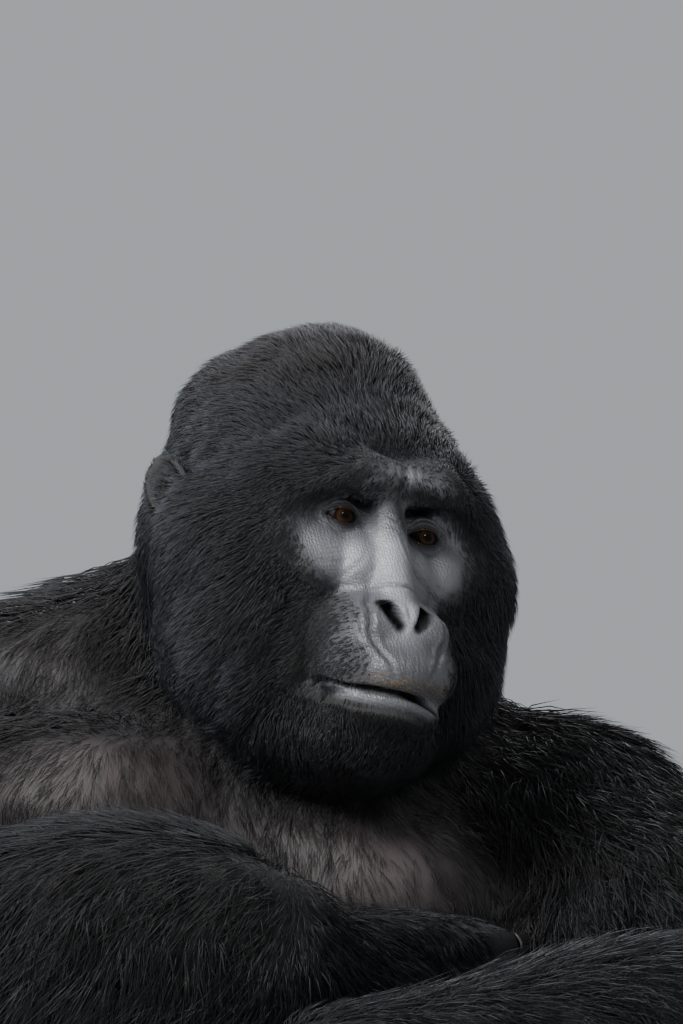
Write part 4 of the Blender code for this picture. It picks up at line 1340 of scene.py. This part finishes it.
# brown crumbs of food and earth on the lips say that the animal has just eaten
crumbs = add_node(bare_skin, "TexNoise", {"Vector": coords}, in_Scale=noise_scale(CRUMB), in_Detail=3.0)
speck = add_node(bare_skin, "MapRange", {"Value": crumbs}, in_From_Min=0.52, in_From_Max=0.60)
speck = add_node(bare_skin, "Math", {0: speck, 1: is_dirt}, operation="MULTIPLY")
colour = add_node(bare_skin, "Mix", {0: speck, 6: colour}, data_type="RGBA", in_7="#6a5238")
# under the coat the skin takes the hair's own colour, so that gaps between tufts do not show
under = add_node(bare_skin, "Mix", {6: hair_colour}, data_type="RGBA", in_0=0.6, in_7="#0c0c0e")
colour = add_node(bare_skin, "Mix", {0: is_bare, 6: under, 7: colour}, data_type="RGBA")

# %% [markdown]
# Creases and wrinkles finer than the mesh are bumps of about half a mm. Roughness says how far the sheen spreads:
# the face is rubbed smooth, the chest is dull, and skin under hair hardly shines.

# %% Bare skin: its relief and its shine
WRINKLE_GAP, CREASE_GAP = 2.0, 1.8                # mm
CREST_GAP = 314                                   # mm between the crests of Blender's waves at a scale of 1
# a net of creases with pores between them makes the sheen break up, as on leather
creases = add_node(bare_skin, "TexVoronoi", {"Vector": coords}, feature="DISTANCE_TO_EDGE",
                   in_Scale=1000 / CREASE_GAP, in_Randomness=1.0)
groove = add_node(bare_skin, "MapRange", {"Value": creases}, in_From_Max=0.10)
relief = add_node(bare_skin, "Bump", {"Height": groove}, in_Strength=0.22, in_Distance=0.0005)
# two sets of fine wrinkles cross at a slant. They are weak on the chest
for turn, gap, strength in (((0.5, 0.3, 0.4), WRINKLE_GAP, 0.42), ((-0.4, 1.2, -0.7), WRINKLE_GAP * 1.3, 0.30)):
    turned = add_node(bare_skin, "Mapping", {"Vector": coords}, in_Rotation=turn)
    waves = add_node(bare_skin, "TexWave", {"Vector": turned}, in_Scale=CREST_GAP / gap, in_Distortion=7.0,
                     in_Detail=3.0, in_Detail_Scale=2.2, in_Detail_Roughness=0.6)
    calm = add_node(bare_skin, "MapRange", {"Value": is_chest}, in_To_Min=strength, in_To_Max=0.12)
    relief = add_node(bare_skin, "Bump", {"Height": waves.outputs["Fac"], "Normal": relief, "Strength": calm},
                      in_Distance=0.0005)
relief = add_node(bare_skin, "Bump", {"Height": blotch, "Normal": relief}, in_Strength=0.5, in_Distance=0.002)
# skin under the coat is dull, bare skin has a sheen, and the face more than the chest
shiny = add_node(bare_skin, "Math", {0: is_bare, 1: is_dark}, operation="SUBTRACT", use_clamp=True)
dull = add_node(bare_skin, "Math", {0: is_chest}, operation="MULTIPLY", in_1=0.45)
shiny = add_node(bare_skin, "Math", {0: shiny, 1: dull}, operation="SUBTRACT")
shine = add_node(bare_skin, "MapRange", {"Value": shiny}, in_To_Min=0.88, in_To_Max=0.42)
unlit = add_node(bare_skin, "Math", {0: dull, 1: is_dark}, operation="ADD")
glare = add_node(bare_skin, "MapRange", {"Value": unlit}, in_To_Min=0.95, in_To_Max=0.04)
feed(bare_skin, shader, {"Base Color": colour, "Normal": relief, "Roughness": shine, "Specular IOR Level": glare})
print("nodes of the skin's material:", len(bare_skin.node_tree.nodes))

# %% [markdown]
# The lids' rims are always wet. The water gives a thin bright line round the eye, and it is what makes the eye look
# alive. Its ripple is finer than half a mm, so that the line breaks into glints.

# %% Wet lids
FILM_RIPPLE = 0.4                                            # mm
wet_skin, shader = new_material("wet lid skin", [lid_rims], Base_Color=(*linear("#2b2422"), 1), Roughness=0.16,
                                IOR=1.4)
coords = add_node(wet_skin, "TexCoord").outputs["Object"]
damp = add_node(wet_skin, "TexNoise", {"Vector": coords}, in_Scale=noise_scale(FILM_RIPPLE))
relief = add_node(wet_skin, "Bump", {"Height": damp}, in_Strength=0.2, in_Distance=0.0003)
feed(wet_skin, shader, {"Normal": relief})

# %% [markdown]
# A guard hair is black keratin with a waxy, smooth surface: dark, with long soft highlights. A shader for hair
# strands would want curves, and these tufts are solid, so a rough surface with a little sheen stands in for it.

# %% Hair
hair, shader = new_material("guard hair", coat_pieces, Roughness=0.60, IOR=1.55, Specular_IOR_Level=0.30,
                            Sheen_Weight=0.09, Sheen_Roughness=0.45, Sheen_Tint=(0.70, 0.76, 0.88, 1))
strand = add_node(hair, "Attribute", attribute_name="pelt").outputs
# roots are darker than tips, as if shaded by their neighbours, which gives the coat depth
deep = add_node(hair, "Mix", {6: strand["Color"]}, data_type="RGBA", in_0=0.5, in_7="#060607")
fade = add_node(hair, "MapRange", {"Value": strand["Alpha"]}, in_From_Max=0.55)
colour = add_node(hair, "Mix", {0: fade, 6: deep, 7: strand["Color"]}, data_type="RGBA")
feed(hair, shader, {"Base Color": colour})

# %% [markdown]
# The iris is a band of red-brown between a black pupil and a dark ring, all read from the angle to the pupil. A
# film of tears covers it. A real cornea has an IOR of about 1.38. A lower value is used, so that the glint of the sky
# stays weak and the iris shows.

# %% Eyes
STREAK = 1.111                                               # mm
wet_eye, shader = new_material("wet eye", eyeballs.values(), Roughness=0.05, IOR=1.22)
angle = add_node(wet_eye, "Attribute", attribute_name="ring").outputs["Fac"]
coords = add_node(wet_eye, "TexCoord").outputs["Object"]
# streaks shift the bands in and out a little, as the fibres of an iris do
streaks = add_node(wet_eye, "TexNoise", {"Vector": coords}, in_Scale=noise_scale(STREAK), in_Detail=4.0)
uneven = add_node(wet_eye, "Math", {0: streaks, 2: angle}, operation="MULTIPLY_ADD", in_1=0.03)
bands = add_node(wet_eye, "ValToRGB", {"Fac": uneven})
steps = ((0.0, "#040303"), (0.12, "#060403"), (0.18, "#170c06"), (0.25, "#2b1a0e"), (0.32, "#301c0f"),
         (0.39, "#0e0806"), (0.46, "#120c0a"), (0.62, "#0f0b09"), (1.0, "#0a0706"))
elements = bands.color_ramp.elements
elements[0].color, elements[1].color = ((*linear(code), 1.0) for _, code in (steps[0], steps[-1]))
for place, code in steps[1:-1]:
    elements.new(place).color = (*linear(code), 1.0)
matt = add_node(wet_eye, "MapRange", {"Value": angle}, in_From_Min=0.40, in_From_Max=0.50, in_To_Min=0.05,
                in_To_Max=0.45)
feed(wet_eye, shader, {"Base Color": bands, "Roughness": matt})

# %% [markdown]
# A gorilla's nails are black-brown horn, smoother than the skin, with faint ridges along them. One noise gives both
# the ridges and the change of colour, as both come from uneven growth.

# %% Nails' material
GROWTH = 3.85                                                # mm
keratin, shader = new_material("nail keratin", nail_pieces, Roughness=0.36, IOR=1.54)
coords = add_node(keratin, "TexCoord").outputs["Object"]
growth = add_node(keratin, "TexNoise", {"Vector": coords}, in_Scale=noise_scale(GROWTH), in_Detail=3.0)
colour = add_node(keratin, "Mix", {0: growth}, data_type="RGBA", in_6="#151312", in_7="#2a2523")
relief = add_node(keratin, "Bump", {"Height": growth}, in_Strength=0.3, in_Distance=0.0003)
feed(keratin, shader, {"Base Color": colour, "Normal": relief})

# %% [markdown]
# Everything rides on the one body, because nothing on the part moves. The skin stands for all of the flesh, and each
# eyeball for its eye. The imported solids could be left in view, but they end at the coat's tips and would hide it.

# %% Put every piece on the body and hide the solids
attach(skin, body)
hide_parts(*flesh_nodes)
for piece in [lid_rims] + nail_pieces:
    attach(piece, body)
for side_name, piece in eyeballs.items():
    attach(piece, body)
    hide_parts("eye_" + side_name)
for piece in coat_pieces:
    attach(piece, body)
print("pieces:", 2 + len(nail_pieces) + len(eyeballs) + len(coat_pieces))

# %% [markdown]
# A large soft light from the upper left of the view stands in for a bright sky, with a weak fill on the other side
# and a pale world, so that black hair still shows its form. One hard lamp would turn the coat into black and white.

# %% Floor and light
FLOOR_RADIUS = 5.5
floor_bm = bmesh.new()
bmesh.ops.create_circle(floor_bm, cap_ends=True, segments=128, radius=FLOOR_RADIUS)
floor = new_object("floor", mesh_of(floor_bm, "floor"))
floor_paint, shader = new_material("pale floor", [floor], Roughness=0.9)
coords = add_node(floor_paint, "TexCoord").outputs["Object"]
grain = add_node(floor_paint, "TexNoise", {"Vector": coords}, in_Scale=2.7)     # blotches about 0.4 m wide
colour = add_node(floor_paint, "Mix", {0: grain}, data_type="RGBA", in_6="#bfc0bd", in_7="#c6c7c4")
feed(floor_paint, shader, {"Base Color": colour})


def soft_light(name, place, size, watts):
    """An area light that points at the gorilla's chest and head."""
    lamp = bpy.data.lights.new(name, "AREA")
    lamp.shape, lamp.size, lamp.energy = "DISK", size, watts
    made = new_object(name, lamp)
    made.location = place
    made.rotation_mode = "QUATERNION"
    made.rotation_quaternion = (Vector((0.05, -0.2, 0.7)) - Vector(place)).to_track_quat("-Z", "Y")


soft_light("sky", (-2.0, -1.9, 2.7), 1.4, 205)
soft_light("catch", (1.05, -2.7, 2.3), 0.5, 18)
soft_light("rim", (0.6, 2.2, 2.4), 1.8, 40)
world = bpy.data.worlds.new("studio")
world.use_nodes = True
background = world.node_tree.nodes["Background"].inputs
background["Color"].default_value = (0.80, 0.84, 0.88, 1.0)
background["Strength"].default_value = 0.50
bpy.context.scene.world = world
print("camera at:", tuple(round(v, 2) for v in camera.location))
